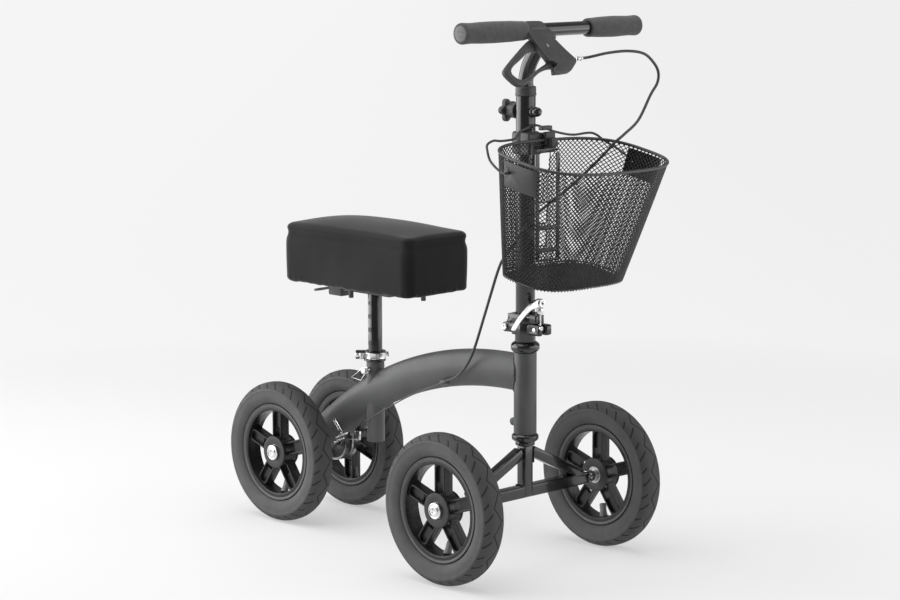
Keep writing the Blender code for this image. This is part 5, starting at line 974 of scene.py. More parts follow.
class WALKER_OT_fold_clamp(bpy.types.Operator):
    """Build the folding clamp with its bolts, rod and quick-release lever"""

    bl_idname = "walker.fold_clamp"
    bl_label = "Folding clamp"

    def execute(self, context):
        cap = turned([(0, 0), (3.6, 0), (3.6, 2.6), (3, 3.2), (1.8, 3.2), (1.7, 1.4), (0, 1.4)], 28, 0.3)
        for half, body, way, place in (("lower", "front_axle", X_AXIS, (578.8, -10, 411.2)),
                                       ("upper", "column", (0.55, -0.50, 0.67), (550, -9.5, 427.2))):
            node = f"{half}_clamp_block"
            finish_piece(f"{half}_clamp", [refined(node, 1.0), (cap, turned_to(way, place), 1)], body,
                         [black_gloss_paint, polished_silver], [node], sharp=45)
        pin = [(0, 23.2), (4.6, 23.2), (5.6, 22.2), (5.6, 19.3), (3.5, 19.3), (3.5, -19.3), (5.6, -19.3), (5.6, -22.2),
               (4.6, -23.2), (2.8, -23.2), (2.6, -21.5), (0, -21.5)]
        turned_piece("hinge_bolt", pin, turned_to(Y_AXIS, HINGE), "front_axle", polished_silver, "fold_hinge_pin",
                     40, 0.3)
        refined_piece("clamp_rod", "quick_release_rod", "rod", polished_silver, 0.3)
        outline = [(4, 7), (-2, 7.4), (-14, 5.6), (-25, -0.4), (-34.5, -6.2), (-53, -21.8), (-65, -36.8), (-64, -39.2),
                   (-62, -39.6), (-50, -26.8), (-33, -14.2), (-20, -8), (-8, -7), (3, -7.2)]
        cam = turned([(0, 6.2), (3, 6.2), (3.4, 5.2), (4, 6), (6.6, 6), (7.3, 5.2), (7.3, -5.2), (6.6, -6), (0, -6)],
                     40, 0.3)
        parts = [(slab([rounded(outline, 0.2)], 6.8, 1.0), oriented(Y_AXIS, Z_AXIS, X_AXIS, CAM * MM)),
                 (cam, turned_to(X_AXIS, CAM))]
        finish_piece("clamp_lever", parts, "cam_lever", [polished_silver], ["fold_lever"], sharp=40)
        return {"FINISHED"}


class WALKER_OT_column(bpy.types.Operator):
    """Build the column tube with its collar, height knob and dome nut"""

    bl_idname = "walker.column"
    bl_label = "Column"

    def execute(self, context):
        turned_piece("column_body", [(16.4, 793.5), (16.4, 419), (13.2, 419), (13.2, 793.5)], STEERING, "column",
                     black_gloss_paint, "column_tube", 72, 0.4)
        low = 793.8
        collar = [(13.1, low), (17.5, low), (17.8, low + 3), (17.1, low + 4), (17.1, low + 12.5), (16.2, low + 15.8),
                  (13.1, low + 16)]
        turned_piece("collar", collar, STEERING, "column", moulded_plastic, "column_collar")
        lobes = []
        for k in range(120):
            angle = 2 * math.pi * k / 120
            wave = (1 + math.cos(5 * (angle + math.pi / 2))) / 2
            radius = 13.0 + 6.6 * wave ** 0.62
            lobes.append((radius * math.cos(angle), radius * math.sin(angle)))
        hub = turned([(0, 3), (7, 3), (8, 1.8), (8, -1), (0, -1)], 48)
        neck = turned([(0, 0), (11.5, 0), (12.2, 10), (13.5, 15), (13.5, 19.8), (0, 19.8)], 48, 0.8)
        parts = [(slab([lobes], 10.1, 2.6, 4), turned_to(X_AXIS, (492.45, 0, KNOB_Z))),
                 (hub, turned_to(-X_AXIS, (487.4, 0, KNOB_Z))), (neck, turned_to(X_AXIS, (497, 0, KNOB_Z)))]
        finish_piece("star_knob", parts, "knob", [moulded_plastic], ["height_knob"])
        dome = [(0, 17), (3, 16.7), (5.6, 15.2), (7.4, 12.5), (8.25, 9), (8, 5.5), (7, 3), (9.4, 2.6), (9.4, 0), (4, 0)]
        turned_piece("dome_nut", dome, turned_to(X_AXIS, (550.7, 0, KNOB_Z)), "column", black_gloss_paint, "knob_nut",
                     48, 0.3, "silver_metal")
        return {"FINISHED"}


class WALKER_OT_handlebar(bpy.types.Operator):
    """Build the gooseneck stem, the bar and the foam grips"""

    bl_idname = "walker.handlebar"
    bl_label = "Handlebar"

    def execute(self, context):
        bend = [(STEER_X, 0, 813), (STEER_X + 0.4, 0, 822), (STEER_X + 8.5, 0, 846), (STEER_X + 27, 0, 873), BAR]
        route = [Vector((STEER_X, 0, 600)), Vector((STEER_X, 0, 780))] + smooth_route(bend, 28)
        route[-1] -= (route[-1] - route[-2]).normalized() * 6
        way = Vector((0.67, 0.0, 0.74))
        lean = Z_AXIS.rotation_difference(way.normalized())
        bead = weld([BAR - way * 10 + lean @ Vector((*p, 0.0)) for p in circle(13.0, 40, closed=True)], 1.8)
        finish_piece("gooseneck", [wire(route, 12.7, 40), bead], "handlebars", [black_gloss_paint], ["stem_tube"])
        half = BAR_HALF_LENGTH
        turned_piece("bar", [(0, half), (11.1, half), (11.1, -half), (0, -half)], turned_to(Y_AXIS, BAR), "handlebars",
                     black_gloss_paint, "handlebar", 48)
        tip = GRIP_END_Y
        cap = turned([(0, tip + GAP), (12.8, tip + GAP), (13.2, tip - 1), (0, tip - 1)], 48, 0.2)
        dot = turned([(0, 0.4), (1.1, 0.4), (1.2, 0), (0, 0)], 16, 0)
        for side, sign, inner in (("left", 1, 85.0), ("right", -1, 62.5)):
            shape = [(11.4, inner), (14, inner), (15.5, inner + 1.5), (15.8, inner + 12), (16.8, inner + 30),
                     (17.5, (inner + tip) / 2), (17.2, tip - 45), (16.35, tip - 22), (16.8, tip - 10), (17.25, tip - 4),
                     (16.6, tip - 1.2), (15, tip), (0, tip)]
            spot = turned_to(Y_AXIS * sign, BAR)
            parts = [(turned(shape, 64, 0.6), spot), (cap, spot, 1)]
            for k in range(3):
                angle = 2 * math.pi * k / 3 + 0.5
                parts.append((dot, spot @ at(5.2 * math.cos(angle), 5.2 * math.sin(angle), tip + 0.2), 2))
            finish_piece(f"foam_grip_{side}", parts, "handlebars", [grip_foam, end_cap_plastic, moulded_plastic],
                         [f"grip_{side}"])
        return {"FINISHED"}


class WALKER_OT_hand_brake(bpy.types.Operator):
    """Build the brake housing, its loop lever, pivot and cable adjuster"""

    bl_idname = "walker.hand_brake"
    bl_label = "Hand brake"

    def execute(self, context):
        plane = oriented(Y_AXIS, HOUSING_DOWN, Y_AXIS.cross(HOUSING_DOWN), BAR * MM)
        face = [(-66.3, -11.3), (-33, -10.5), (-29.9, -7.1), (-18.2, 3.8), (-7.9, 15.8), (-15, 21.5), (-0.2, 41.8),
                (16.8, 62.2), (13.5, 67.6), (-7.6, 82.9), (-29.6, 84.5), (-47.4, 84.5), (-43.7, 75.7), (-30.9, 69),
                (-37.9, 62.3), (-48, 60.6), (-52.7, 52.5), (-63, 27.6), (-72, 3)]
        back = [(-48, -8), (-16, -10), (4, 15), (6, 35), (26, 56), (22, 64), (6, 74), (-20, 76), (-26, 60), (-38, 30)]
        saddle = turned([(11.3, 18.5), (13.5, 18.5), (14.3, 17.6), (14.3, -17.6), (13.5, -18.5), (11.3, -18.5)], 56,
                        0.6)
        screw = turned([(0, 0), (3, 0), (2.8, 1.2), (1.4, 1.4), (1.2, 0.6), (0, 0.6)], 24, 0.2)
        parts = [(slab([rounded(face, 0.12)], 9.6, 1.6, 4), plane @ at(0, 0, -8.4)),
                 (slab([rounded(back, 0.20)], 8.6, 1.6, 4), plane @ at(0, 0, 9.6)),
                 (saddle, turned_to(Y_AXIS, BAR - Y_AXIS * 43)),
                 (screw, plane @ turned_to(-Z_AXIS, (-38, 34.9, -13.1)), 1)]
        finish_piece("brake_body", parts, "handlebars", [moulded_plastic, dull_zinc], ["brake_housing"], sharp=45)
        loop = [(-24, 19), (-55, 15), (-75, 24.2), (-140, 63.3), (-149.2, 73.3), (-132.5, 95), (-121.7, 98.3),
                (-100.8, 94.2), (-71.7, 77.5), (-47.5, 70.5), (-28, 70.5), (-23, 52)]
        hole = [(-89.2, 47.5), (-137, 70.5), (-121.5, 88.5), (-100, 85.2), (-70, 70.2), (-37, 59), (-40, 48.3),
                (-47.5, 41.2), (-63.3, 37.8), (-82.5, 41.5)]
        finish_piece("loop_lever", [(slab([rounded(loop), rounded(hole)], 10, 3.0, 5), plane)], "hand_lever",
                     [moulded_plastic], ["brake_lever"], sharp=50)
        start, end = 32.8, 45.0
        barrel = [(0, end), (3, end), (3.6, end - 0.8), (3.6, end - 4.5), (2.6, end - 5), (2.6, start + 3.5),
                  (3.6, start + 3), (3.6, start), (0, start)]
        spot = turned_to(Y_AXIS, BAR + HOUSING_DOWN * 55)
        ridge = block((0.8, 0.8, 3.4), 0.3, 1)
        parts = [(turned(barrel, 40, 0.3), spot)]
        parts += [(ridge, spot @ turn(360 * k / 16) @ at(3.6, 0, end - 2.7)) for k in range(16)]
        finish_piece("cable_adjuster", parts, "handlebars", [polished_silver], ["barrel_adjuster"])
        paint(dull_zinc, "lever_pivot_pin")
        return {"FINISHED"}


class WALKER_OT_brake_cable(bpy.types.Operator):
    """Build the brake cable in runs, split at the joints that it crosses"""

    bl_idname = "walker.brake_cable"
    bl_label = "Brake cable"

    def execute(self, context):
        route = smooth_route(CABLE_OUTER_ROUTE, 260)
        basket, top, low = (next(i for i, p in enumerate(route) if p.z < z and i > 60) for z in (720, 530, 355))
        inner = smooth_route(CABLE_WIRE_ROUTE, 90)
        runs = (("upper", route[:basket + 1], "handlebars", "column", route[40], route[basket - 4]),
                ("middle", route[basket:top + 1], "column", None, None, None),
                ("fold", route[top:low + 1], "column", "front_axle", route[top + 3], route[low - 3]),
                ("lower", route[low:], "front_axle", "frame", route[low + 2], route[-3]),
                ("inner_wire", inner, "frame", "cable_arm", *WIRE_BLEND))
        for name, points, body, other, start, end in runs:
            bare = name == "inner_wire"
            mesh = wire(points, WIRE_RADIUS, 12) if bare else wire(points, CABLE_RADIUS, 16)
            piece = finish_piece(f"cable_{name}", [mesh], None if other else body,
                                 [cable_wire if bare else cable_jacket], ["brake_cable"])
            if other:
                start, end = start * MM, end * MM
                tuple(start + SHIFT)
                tuple(end + SHIFT)
                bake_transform(piece)
        return {"FINISHED"}


def between(low, high, share):
    return low + (high - low) * share


def basket_outline(share, inset=0.0):
    """The basket's outline at a share of its height, from the floor at 0 to the rim at 1."""
    depth = between(FLOOR_HALF_DEPTH, RIM_HALF_DEPTH, share) - inset
    span = between(FLOOR_HALF_SPAN, RIM_HALF_SPAN, share) - inset
    power = between(FLOOR_POWER, RIM_POWER, share)
    rear_z = between(FLOOR_REAR_Z, RIM_REAR_Z, share)
    rear_x = between(BASKET_FLOOR_REAR_X, BASKET_REAR_X, share)

    def point(angle):
        c, s = math.cos(angle), math.sin(angle)
        x = inset + depth + depth * math.copysign(abs(c) ** (2 / power), c)
        y = span * math.copysign(abs(s) ** (2 / power), s)
        return Vector((rear_x + x, y, rear_z + BASKET_SLOPE * x))

    return point


def even_angles(count):
    """Angles that give even steps along the basket's outline at half its height."""
    outline = basket_outline(0.5)
    fine = [2 * math.pi * k / 2400 for k in range(2401)]
    lengths = [0.0]
    for a, b in zip(fine, fine[1:]):
        lengths.append(lengths[-1] + (outline(b) - outline(a)).length)
    angles = []
    where = 0
    for k in range(count):
        goal = lengths[-1] * k / count
        while lengths[where + 1] < goal:
            where += 1
        angles.append(fine[where])
    return angles


def in_window(point):
    """True where the rear wall is open behind the bracket."""
    if point.x > REAR_WALL_END_X:
        return False
    right, left, bottom = BRACKET_OPENING
    if point.z > bottom and right < point.y < left:
        return True
    return any(low < point.y < high and bottom < point.z < top for low, high, bottom, top in BASKET_WINDOWS)


def wall_net():
    """A net of diamonds round the basket's wall, as faces that the Wireframe turns to strands."""
    rows = sizes().mesh_rows
    around = sizes().mesh_columns * 2
    angles = even_angles(around)
    bm = bmesh.new()
    grid = {}
    for j in range(rows + 1):
        outline = basket_outline(j / rows, 0.6)
        for i in range(j % 2, around, 2):
            grid[(i, j)] = bm.verts.new(outline(angles[i]))
    for j in range(rows):
        for i in range(j % 2, around, 2):
            ways = ((i, j), ((i + 1) % around, j + 1), (i, j + 2), ((i - 1) % around, j + 1))
            corners = [grid[w] for w in ways if w in grid]
            if not in_window(sum((v.co for v in corners), Vector()) / len(corners)):
                bm.faces.new(corners)
    bmesh.ops.delete(bm, geom=[v for v in bm.verts if not v.link_faces], context="VERTS")
    return mesh_from(bm, outward=False, scale=MM)


def floor_net():
    """The basket floor's net of diamonds, kept inside its outline."""
    middle = BASKET_FLOOR_REAR_X + FLOOR_HALF_DEPTH
    bm = bmesh.new()
    grid = {}

    def place(i, j):
        return middle + i * FLOOR_PITCH[0] / 2, j * FLOOR_PITCH[1] / 2

    def inside(x, y):
        across, along = (x - middle) / (FLOOR_HALF_DEPTH - 1), y / (FLOOR_HALF_SPAN - 1)
        return abs(across) ** FLOOR_POWER + abs(along) ** FLOOR_POWER < 1.0

    def vertex(i, j):
        if (i, j) not in grid:
            x, y = place(i, j)
            grid[(i, j)] = bm.verts.new((x, y, FLOOR_REAR_Z + BASKET_SLOPE * (x - BASKET_FLOOR_REAR_X) + 0.6))
        return grid[(i, j)]

    for i in range(-20, 21):
        for j in range(-28, 29):
            corners = ((i - 1, j), (i, j - 1), (i + 1, j), (i, j + 1))
            if (i + j) % 2 == 0 and all(inside(*place(*c)) for c in corners):
                bm.faces.new([vertex(*c) for c in corners])
    return mesh_from(bm, outward=False, scale=MM)


def strands(net):
    """The strands of a net, through a Wireframe modifier whose result is kept."""
    holder = bpy.data.objects.new("net", net)
    modifier = holder.modifiers.new("strands", "WIREFRAME")
    modifier.thickness = sizes().strand
    modifier.offset = 0.0
    modifier.use_replace = True
    modifier.use_even_offset = False
    modifier.use_boundary = True
    return evaluated(holder)


class WALKER_OT_basket(bpy.types.Operator):
    """Build the basket: its expanded mesh, rim, wire frame, side plates, carrying handle, bracket and button"""

    bl_idname = "walker.basket"
    bl_label = "Basket"

    def execute(self, context):
        angles = [2 * math.pi * k / 128 for k in range(128)]
        rim, foot = basket_outline(1.0, 0.8), basket_outline(0.012, 0.8)
        wires = [wire([rim(a) for a in angles], 2.6, 14, True), wire([foot(a) for a in angles], 1.4, 10, True)]
        for name, parts, sharp in (("wall", [strands(wall_net())], 60), ("floor", [strands(floor_net())], 60),
                                   ("rim", wires, 38)):
            finish_piece(f"basket_{name}", parts, "basket", [basket_paint], ["basket_shell"], sharp=sharp)
        self.inner_frame()
        for side in ("left", "right"):
            refined_piece(f"side_plate_{side}", f"basket_plate_{side}", "basket", plate_paint, 0.2, 50, 40)
        x, y, z = BAIL_PIVOT
        stub = turned([(0, 0), (2, 0), (2, 9.4), (0, 9.4)], 20, 0.3)
        handle = [wire(smooth_route(BAIL_ROUTE, 140), 2.0, 16)]
        handle += [(stub, turned_to(Y_AXIS * sign, (x, sign * y, z))) for sign in (-1, 1)]
        finish_piece("carrying_handle", handle, "bail", [basket_paint], ["basket_bail"], "black_paint")
        self.bracket()
        refined_piece("button", "release_button", "button", button_plastic, 0.8, 45)
        return {"FINISHED"}

    def inner_frame(self):
        """The wires round the rear openings, the strips behind them and the tongue that hooks on the bracket."""
        frame = []
        for left, right, bottom, top in BASKET_WINDOWS:
            loop = []
            for y, z in ((left, bottom), (right, bottom), (right, top), (left, top)):
                share = (z - FLOOR_REAR_Z) / (RIM_REAR_Z - FLOOR_REAR_Z)
                loop.append((between(BASKET_FLOOR_REAR_X, BASKET_REAR_X, share) + 0.8, y, z))
            frame.append(wire(loop, 1.2, 8, True))
        strips = [((2.4, 7.6, 178), (584.6, side * 24, 613)) for side in (-1, 1)]
        strips += [((2.4, 50, 7), (585.2, 0, z)) for z in (542, 579)]
        strips += [((2.2, 50, 4.2), (585.2, 0, z)) for z in (525.6, 707.5)]
        frame += [(block(size, 0.6, 2), at(place), 2) for size, place in strips]
        frame += [(block((8.6, 24, high - low), 2.6, 4), at(571.6, 16.2, (low + high) / 2), 1)
                  for low, high in ((713.2, 735.8), (701.4, 712.5))]
        frame.append((block((12, 16, 15), 2.0), at(580, 16, 718.6), 1))
        finish_piece("basket_inner_frame", frame, "basket", [basket_paint, moulded_plastic, black_gloss_paint],
                     ["basket_frame"], sharp=40)

    def bracket(self):
        """The basket's clamp on the column: two rings with their bosses, and the block between them."""
        parts = []
        for low, high in ((711.7, 734.6), (698.2, 710.7)):
            middle = (low + high) / 2
            shell = [(16.6, low), (21.2, low), (22.6, low + 3), (22.8, middle), (22.6, high - 3), (21.2, high),
                     (16.6, high)]
            parts.append((turned(shell, 56, 0.8), STEERING))
            parts.append((block((21.5, 31.7, high - low), 3.6, 5), at(555.3, BRACKET_Y, middle)))
        for size, soft, place in (((19, 29, 20), 2.0, (554.5, BRACKET_Y, BRACKET_Z)),
                                  ((19, 25, 33), 2.0, (556, 8, BRACKET_Z)),
                                  ((1.2, 16.5, 7.8), 0.4, (566.2, -2.2, BRACKET_Z + 1.8)),
                                  ((1.2, 12, 4.6), 0.4, (566.7, -2.2, BRACKET_Z + 2.0))):
            parts.append((block(size, soft, 2), at(place)))
        finish_piece("bracket", parts, "column", [moulded_plastic], ["basket_clamp"], sharp=45)


def cushion_form(v, half):
    """Move a point of a cube to the cushion: a rounded box, crowned on top and hollow inside its hem."""
    spread = [math.copysign(1.0 - (1.0 - abs(c)) ** power, c) for c, power in zip(v.co, (1.6, 1.45, 1.3))]
    p = Vector([s * size for s, size in zip(spread, half)])
    corner = CUSHION_CORNER
    core = Vector((max(-half.x + corner, min(half.x - corner, p.x)),
                   max(-half.y + corner, min(half.y - corner, p.y)), 0.0))
    away = Vector((p.x - core.x, p.y - core.y, 0.0))
    inward = min(half.x - abs(p.x), half.y - abs(p.y))
    below, above = half.z - p.z, half.z + p.z
    edge, depth = (CUSHION_TOP_EDGE, below) if below < above else (CUSHION_LOW_EDGE, above)
    shrink, drop = inward, depth
    if inward < edge and depth < edge:
        angle = math.radians(45.0) * (1.0 - depth / edge + inward / edge)
        shrink = edge * (1.0 - math.cos(angle))
        drop = edge * (1.0 - math.sin(angle))
    z = half.z - drop if below < above else drop - half.z
    rise = min(1.0, max(0.0, (z + half.z) / (2 * half.z)))
    waist = 3.4 * math.exp(-((rise - 0.84) / 0.08) ** 2) - 2.6 * math.sin(math.pi * rise) ** 0.5 - 0.6
    reach = corner - shrink - waist * max(0.0, 1.0 - inward / corner)
    place = core + away.normalized() * reach if inward < corner and away.length > 0.001 else core + away
    if below < 0.001:
        z += CUSHION_CROWN * (1.0 - abs(p.x / half.x) ** 3) * (1.0 - abs(p.y / half.y) ** 2.4)
    if above < 0.001 and inward > CUSHION_HEM:
        z += min(11.2, (inward - CUSHION_HEM) * 6.0)
    return Vector((place.x, place.y, z))


def cushion_ruffle(co, normal, rise):
    """How far the cloth stands off, in metres: gathers near the hem, where rise is small, dents and folds."""
    side = 1.0 - abs(normal.z)
    along = co.x if abs(normal.y) > abs(normal.x) else co.y
    gathers = max(0.0, 1.0 - rise / 0.15) * side
    ripple = math.sin(along * 520.0 + 4.0 * noise.noise(co * 24.0)) * 0.6 + noise.noise(co * 140.0) * 0.8
    soft = noise.noise(Vector((co.x * 10.0, co.y * 12.0, co.z * 9.0))) * 0.0013
    fold = noise.noise(Vector((co.x * 30.0, co.y * 30.0, co.z * 9.0))) * 0.0005 * side
    return ripple * sizes().hem_drop * gathers + soft + fold


def cushion_body():
    """The cushion, from a finely divided cube: its form, then the dents, folds and gathers of its cloth."""
    half = Vector((CUSHION_FRONT_X - CUSHION_REAR_X, CUSHION_HALF_WIDTH * 2, CUSHION_EDGE_Z - CUSHION_LOW_Z)) / 2
    bm = bmesh.new()
    bmesh.ops.create_cube(bm, size=2.0)
    bmesh.ops.subdivide_edges(bm, edges=bm.edges[:], cuts=71, use_grid_fill=True)
    for v in bm.verts:
        v.co = cushion_form(v, half) * MM
    bm.normal_update()
    height = 2 * half.z * MM
    for v in bm.verts:
        rise = v.co.z / height + 0.5
        v.co += v.normal * cushion_ruffle(v.co, v.normal, rise)
        if rise < 0.05 and v.normal.z < 0.5:
            v.co.z += noise.noise(Vector((v.co.x * 60.0, v.co.y * 60.0, 3.0))) * 0.0016
    middle = Vector(((CUSHION_FRONT_X + CUSHION_REAR_X) / 2, 0, CUSHION_LOW_Z + half.z)) * MM
    bmesh.ops.translate(bm, vec=middle, verts=bm.verts)
    return mesh_from(bm)


class WALKER_OT_seat(bpy.types.Operator):
    """Build the seat: its post with the height holes, the board with its fittings, and the cushion"""

    bl_idname = "walker.seat"
    bl_label = "Seat"

    def execute(self, context):
        tube = [(0, 440.2), (12.7, 440.2), (12.7, 196), (10.7, 196), (10.7, 430), (0, 430)]
        ring = turned([(2.8, 0), (4.6, 0), (4.4, 0.3), (2.9, 0.3)], 28, 0)
        pit = turned([(0, 0.1), (3, 0.1), (3, 0), (0, 0)], 28, 0)
        parts = [(turned(tube, 64, 0.4), SEAT_LINE)]
        for k in range(-3, 6):
            z = LOCK_PIN_Z + k * SEAT_HOLE_PITCH
            for sign in (-1, 1):
                parts.append((ring, turned_to(Y_AXIS * sign, (SEAT_X, sign * 12.5, z))))
                parts.append((pit, turned_to(Y_AXIS * sign, (SEAT_X, sign * 12.7, z)), 1))
        finish_piece("post", parts, "seat", [black_gloss_paint, moulded_plastic], ["seat_post"])
        refined_piece("seat_board", "seat_base_plate", "seat", moulded_plastic, 0.6, 45)
        cushion = finish_piece("cushion", [cushion_body()], "seat", [cushion_cloth], ["knee_cushion"], sharp=180)
        return {"FINISHED"}


class WALKER_OT_seat_clamp(bpy.types.Operator):
    """Build the seat clamp, its cam lever, and the lock pin with its wire ring"""

    bl_idname = "walker.seat_clamp"
    bl_label = "Seat clamp"

    def execute(self, context):
        band = turned([(17, 307.6), (19.3, 307.6), (19.9, 308.6), (19.4, 310.4), (19.4, 316), (19.9, 317.8),
                       (19.3, 318.8), (17, 318.8)], 72, 0.3)
        gasket = turned([(16.2, 303), (18.6, 303), (19, 304), (19, 306.8), (16.2, 306.8)], 56, 0.4)
        ear = block((12, 5, 11.2), 1.0, 2)
        bolt = turned([(0, 0), (2.8, 0), (2.6, 1.6), (0, 1.8)], 20, 0.3)
        parts = [refined("seat_clamp_collar"), (band, SEAT_LINE, 1), (gasket, SEAT_LINE)]
        parts += [(ear, at(SEAT_X, 0, 313.2) @ turn(angle) @ at(24, 0, 0), 1) for angle in (200, 250)]
        for angle in (-140, -30):
            way = turn(angle).to_3x3() @ X_AXIS
            parts.append((bolt, turned_to(way, Vector((SEAT_X, 0, 305)) + way * 18.5)))
        finish_piece("clamp_collar", parts, "frame", [black_gloss_paint, polished_silver], ["seat_clamp_collar"],
                     sharp=40)
        refined_piece("clamp_cam_lever", "seat_clamp_lever", "seat_lever", polished_silver, 0.5)
        pin = [(0, 21.5), (2.9, 21.5), (3.9, 20.5), (3.9, -18), (6.2, -18.5), (6.2, -22.5), (4.2, -23), (4.2, -28.3),
               (6, -28.9), (6, -30.1), (5, -30.5), (0, -30.5)]
        turned_piece("lock_pin", pin, turned_to(Y_AXIS, (SEAT_X, 0, LOCK_PIN_Z)), "lock_pin", polished_silver,
                     "seat_lock_pin", 40, 0.3)
        refined_piece("pin_ring_wire", "lock_pin_ring", "pin_ring", polished_silver, 0, 80)
        return {"FINISHED"}


class WALKER_OT_rear_brake(bpy.types.Operator):
    """Build the rear band brake: its dished cover, perforated bracket and cable arm"""

    bl_idname = "walker.rear_brake"
    bl_label = "Rear brake"

    def execute(self, context):
        lift, edge, slope, draw, depth = 3.0, 56.0, 10.0, 0.15, 15.5
        dish = refined("brake_cover", 0.6)
        for v in dish.vertices:
            out = Vector((v.co.x, 0.0, v.co.z - WHEEL_RADIUS * MM))
            near = max(0.0, min(1.0, (edge - out.length / MM) / slope))
            drawn = out * (1.0 - draw * near)
            v.co = drawn + Vector((0.0, v.co.y + depth * near * MM, (WHEEL_RADIUS + lift) * MM))
        # Painted shade: a thin dark disc on the dish's inner face stands in for the shadow that falls there.
        inside = turned([(13.5, 50.5), (38.5, 50.5), (38.8, 52), (13.5, 52)], 64, 0.3)
        finish_piece("brake_dish", [dish, (inside, turned_to(Y_AXIS, (0, 0, WHEEL_RADIUS + lift)), 1)], "frame",
                     [dull_zinc, rim_plastic], ["brake_cover", "brake_band"], sharp=40)
        top, low = Vector((71.6, -19.4, 185)), Vector((89.2, -19.4, 164.4))
        way, length = (low - top).normalized(), (low - top).length
        strip = [(0, -4.2), (length, -4.8), (length + 3, 0), (length, 4.8), (0, 4.2), (-3.6, 0)]
        holes = [circle(1.9, 16, (x, 0.0)) for x in (0.6, 8.5, 16)]
        rivet = turned([(0, 0), (1.8, 0), (1.5, 1), (0, 1.2)], 20, 0.2)
        plane = oriented(way, way.cross(Y_AXIS), Y_AXIS, top * MM)
        parts = [(slab([rounded(strip, 0.2)] + holes, 1.4, 0.3, 1), plane),
                 (rivet, turned_to(-Y_AXIS, top + way * 4.5 - Y_AXIS * 0.6)),
                 (rivet, turned_to(-Y_AXIS, low + way - Y_AXIS * 0.6)),
                 wire([(75.8, -19.6, 152.6), (90, -20.4, 159.2), (105.1, -19, 165.4)], 1.4, 10),
                 wire([(70, -18.8, 142.6), (82, -19.8, 148.8), (95.5, -18.6, 155.1)], 1.4, 10),
                 (block((11, 6, 16.5), 1.2, 2), at(80.8, 30, 150.3))]
        finish_piece("perforated_bracket", parts, "frame", [polished_silver])
        refined_piece("cable_lever_arm", "brake_arm", "cable_arm", polished_silver, 0.3)
        return {"FINISHED"}


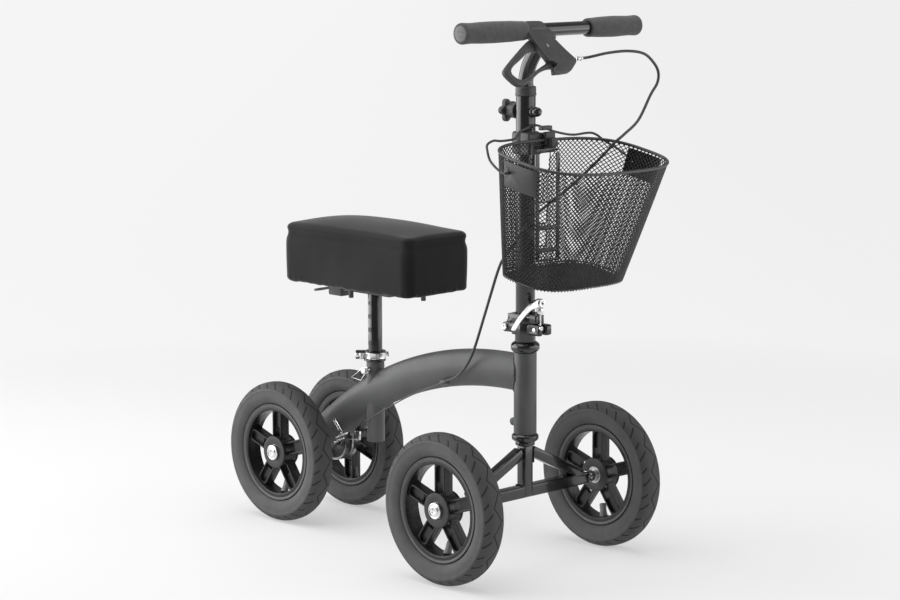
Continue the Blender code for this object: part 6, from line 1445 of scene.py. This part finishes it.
class WALKER_OT_studio(bpy.types.Operator):
    """Build the pale floor, the soft lights and the camera"""

    bl_idname = "walker.studio"
    bl_label = "Studio"

    def execute(self, context):
        bm = bmesh.new()
        bmesh.ops.create_circle(bm, cap_ends=True, segments=96, radius=45.0)
        mesh = mesh_from(bm, outward=False)
        mesh.name = "studio_floor"
        if mesh.polygons[0].normal.z < 0:
            mesh.flip_normals()
        mesh.materials.append(studio_floor())
        floor = self.placed(mesh)

        world = bpy.data.worlds.new("studio")
        context.scene.world = world
        world.use_nodes = True
        sky = world.node_tree.nodes["Background"]
        sky.inputs["Color"].default_value = (0.93, 0.93, 0.935, 1.0)
        sky.inputs["Strength"].default_value = 0.24
        self.softbox("top_softbox", 68.0, 3.4, 3.4, (-0.25, -0.30, 2.9), (0.0, 0.0, 0.0))
        self.softbox("left_softbox", 70.0, 3.2, 2.2, (-1.75, -1.40, 1.15), (0.22, 0.0, 1.0))
        self.softbox("right_softbox", 40.0, 4.0, 2.2, (2.30, 1.30, 1.15), (0.22, 0.0, 1.0))
        self.camera()
        context.scene.view_settings.view_transform = "Standard"
        return {"FINISHED"}

    def placed(self, data):
        """An object in the scene for a mesh, a light or a camera."""
        holder = bpy.data.objects.new(data.name, data)
        bpy.context.scene.collection.objects.link(holder)
        return holder

    def softbox(self, name, energy, width, height, place, target):
        light = bpy.data.lights.new(name, "AREA")
        light.shape = "RECTANGLE"
        light.size = width
        light.size_y = height
        light.energy = energy
        way = (Vector(place) - Vector(target)).normalized()
        side = Z_AXIS.cross(way).normalized()
        self.placed(light).matrix_world = oriented(side, way.cross(side), way, place)

    def camera(self):
        """The camera of the photo, worked out from the wheels, the beam and the column."""
        lens = bpy.data.cameras.new("photo_camera")
        lens.sensor_width = 36.0
        lens.lens = 2539.6 / 900.0 * 36.0
        lens.clip_end = 200.0
        azimuth, elevation, roll = math.radians(46.01), math.radians(8.766), math.radians(-0.141)
        back = Vector((math.sin(azimuth) * math.cos(elevation), -math.cos(azimuth) * math.cos(elevation),
                       math.sin(elevation)))
        right = (-back).cross(Z_AXIS).normalized()
        up = right.cross(-back)
        holder = self.placed(lens)
        holder.matrix_world = oriented(right * math.cos(roll) + up * math.sin(roll),
                                       up * math.cos(roll) - right * math.sin(roll), back,
                                       Vector((3.4605, -3.0000, 1.0991)) + SHIFT)
        bpy.context.scene.camera = holder


class WALKER_PT_sidebar(bpy.types.Panel):
    """Lists the walker's steps, sizes and colours"""

    bl_label = "Knee walker"
    bl_idname = "WALKER_PT_sidebar"
    bl_space_type = "VIEW_3D"
    bl_region_type = "UI"
    bl_category = "Walker"

    def draw(self, context):
        for step in STEPS:
            self.layout.operator(step.bl_idname)
        for group in (context.scene.walker_sizes, context.scene.walker_colours):
            for name in group.bl_rna.properties.keys():
                if name not in ("rna_type", "name"):
                    self.layout.prop(group, name)


STEPS = (
    WALKER_OT_studio, WALKER_OT_brake_cable, WALKER_OT_wheels, WALKER_OT_frame_tubes, WALKER_OT_front_end,
    WALKER_OT_fold_clamp, WALKER_OT_column, WALKER_OT_handlebar, WALKER_OT_hand_brake, WALKER_OT_basket,
    WALKER_OT_seat, WALKER_OT_seat_clamp, WALKER_OT_rear_brake,
)
CLASSES = (WalkerColours, WalkerSizes) + STEPS + (WALKER_PT_sidebar,)


def register():
    for item in CLASSES:
        bpy.utils.register_class(item)
    bpy.types.Scene.walker_colours = PointerProperty(type=WalkerColours)
    bpy.types.Scene.walker_sizes = PointerProperty(type=WalkerSizes)


def unregister():
    del bpy.types.Scene.walker_sizes
    del bpy.types.Scene.walker_colours
    for item in reversed(CLASSES):
        bpy.utils.unregister_class(item)


def main():
    register()
    bpy.ops.walker.studio()
    bpy.ops.walker.brake_cable()
    bpy.ops.walker.wheels()
    bpy.ops.walker.frame_tubes()
    bpy.ops.walker.front_end()
    bpy.ops.walker.fold_clamp()
    bpy.ops.walker.column()
    bpy.ops.walker.handlebar()
    bpy.ops.walker.hand_brake()
    bpy.ops.walker.basket()
    bpy.ops.walker.seat()
    bpy.ops.walker.seat_clamp()
    bpy.ops.walker.rear_brake()


if __name__ == "__main__":
    main()
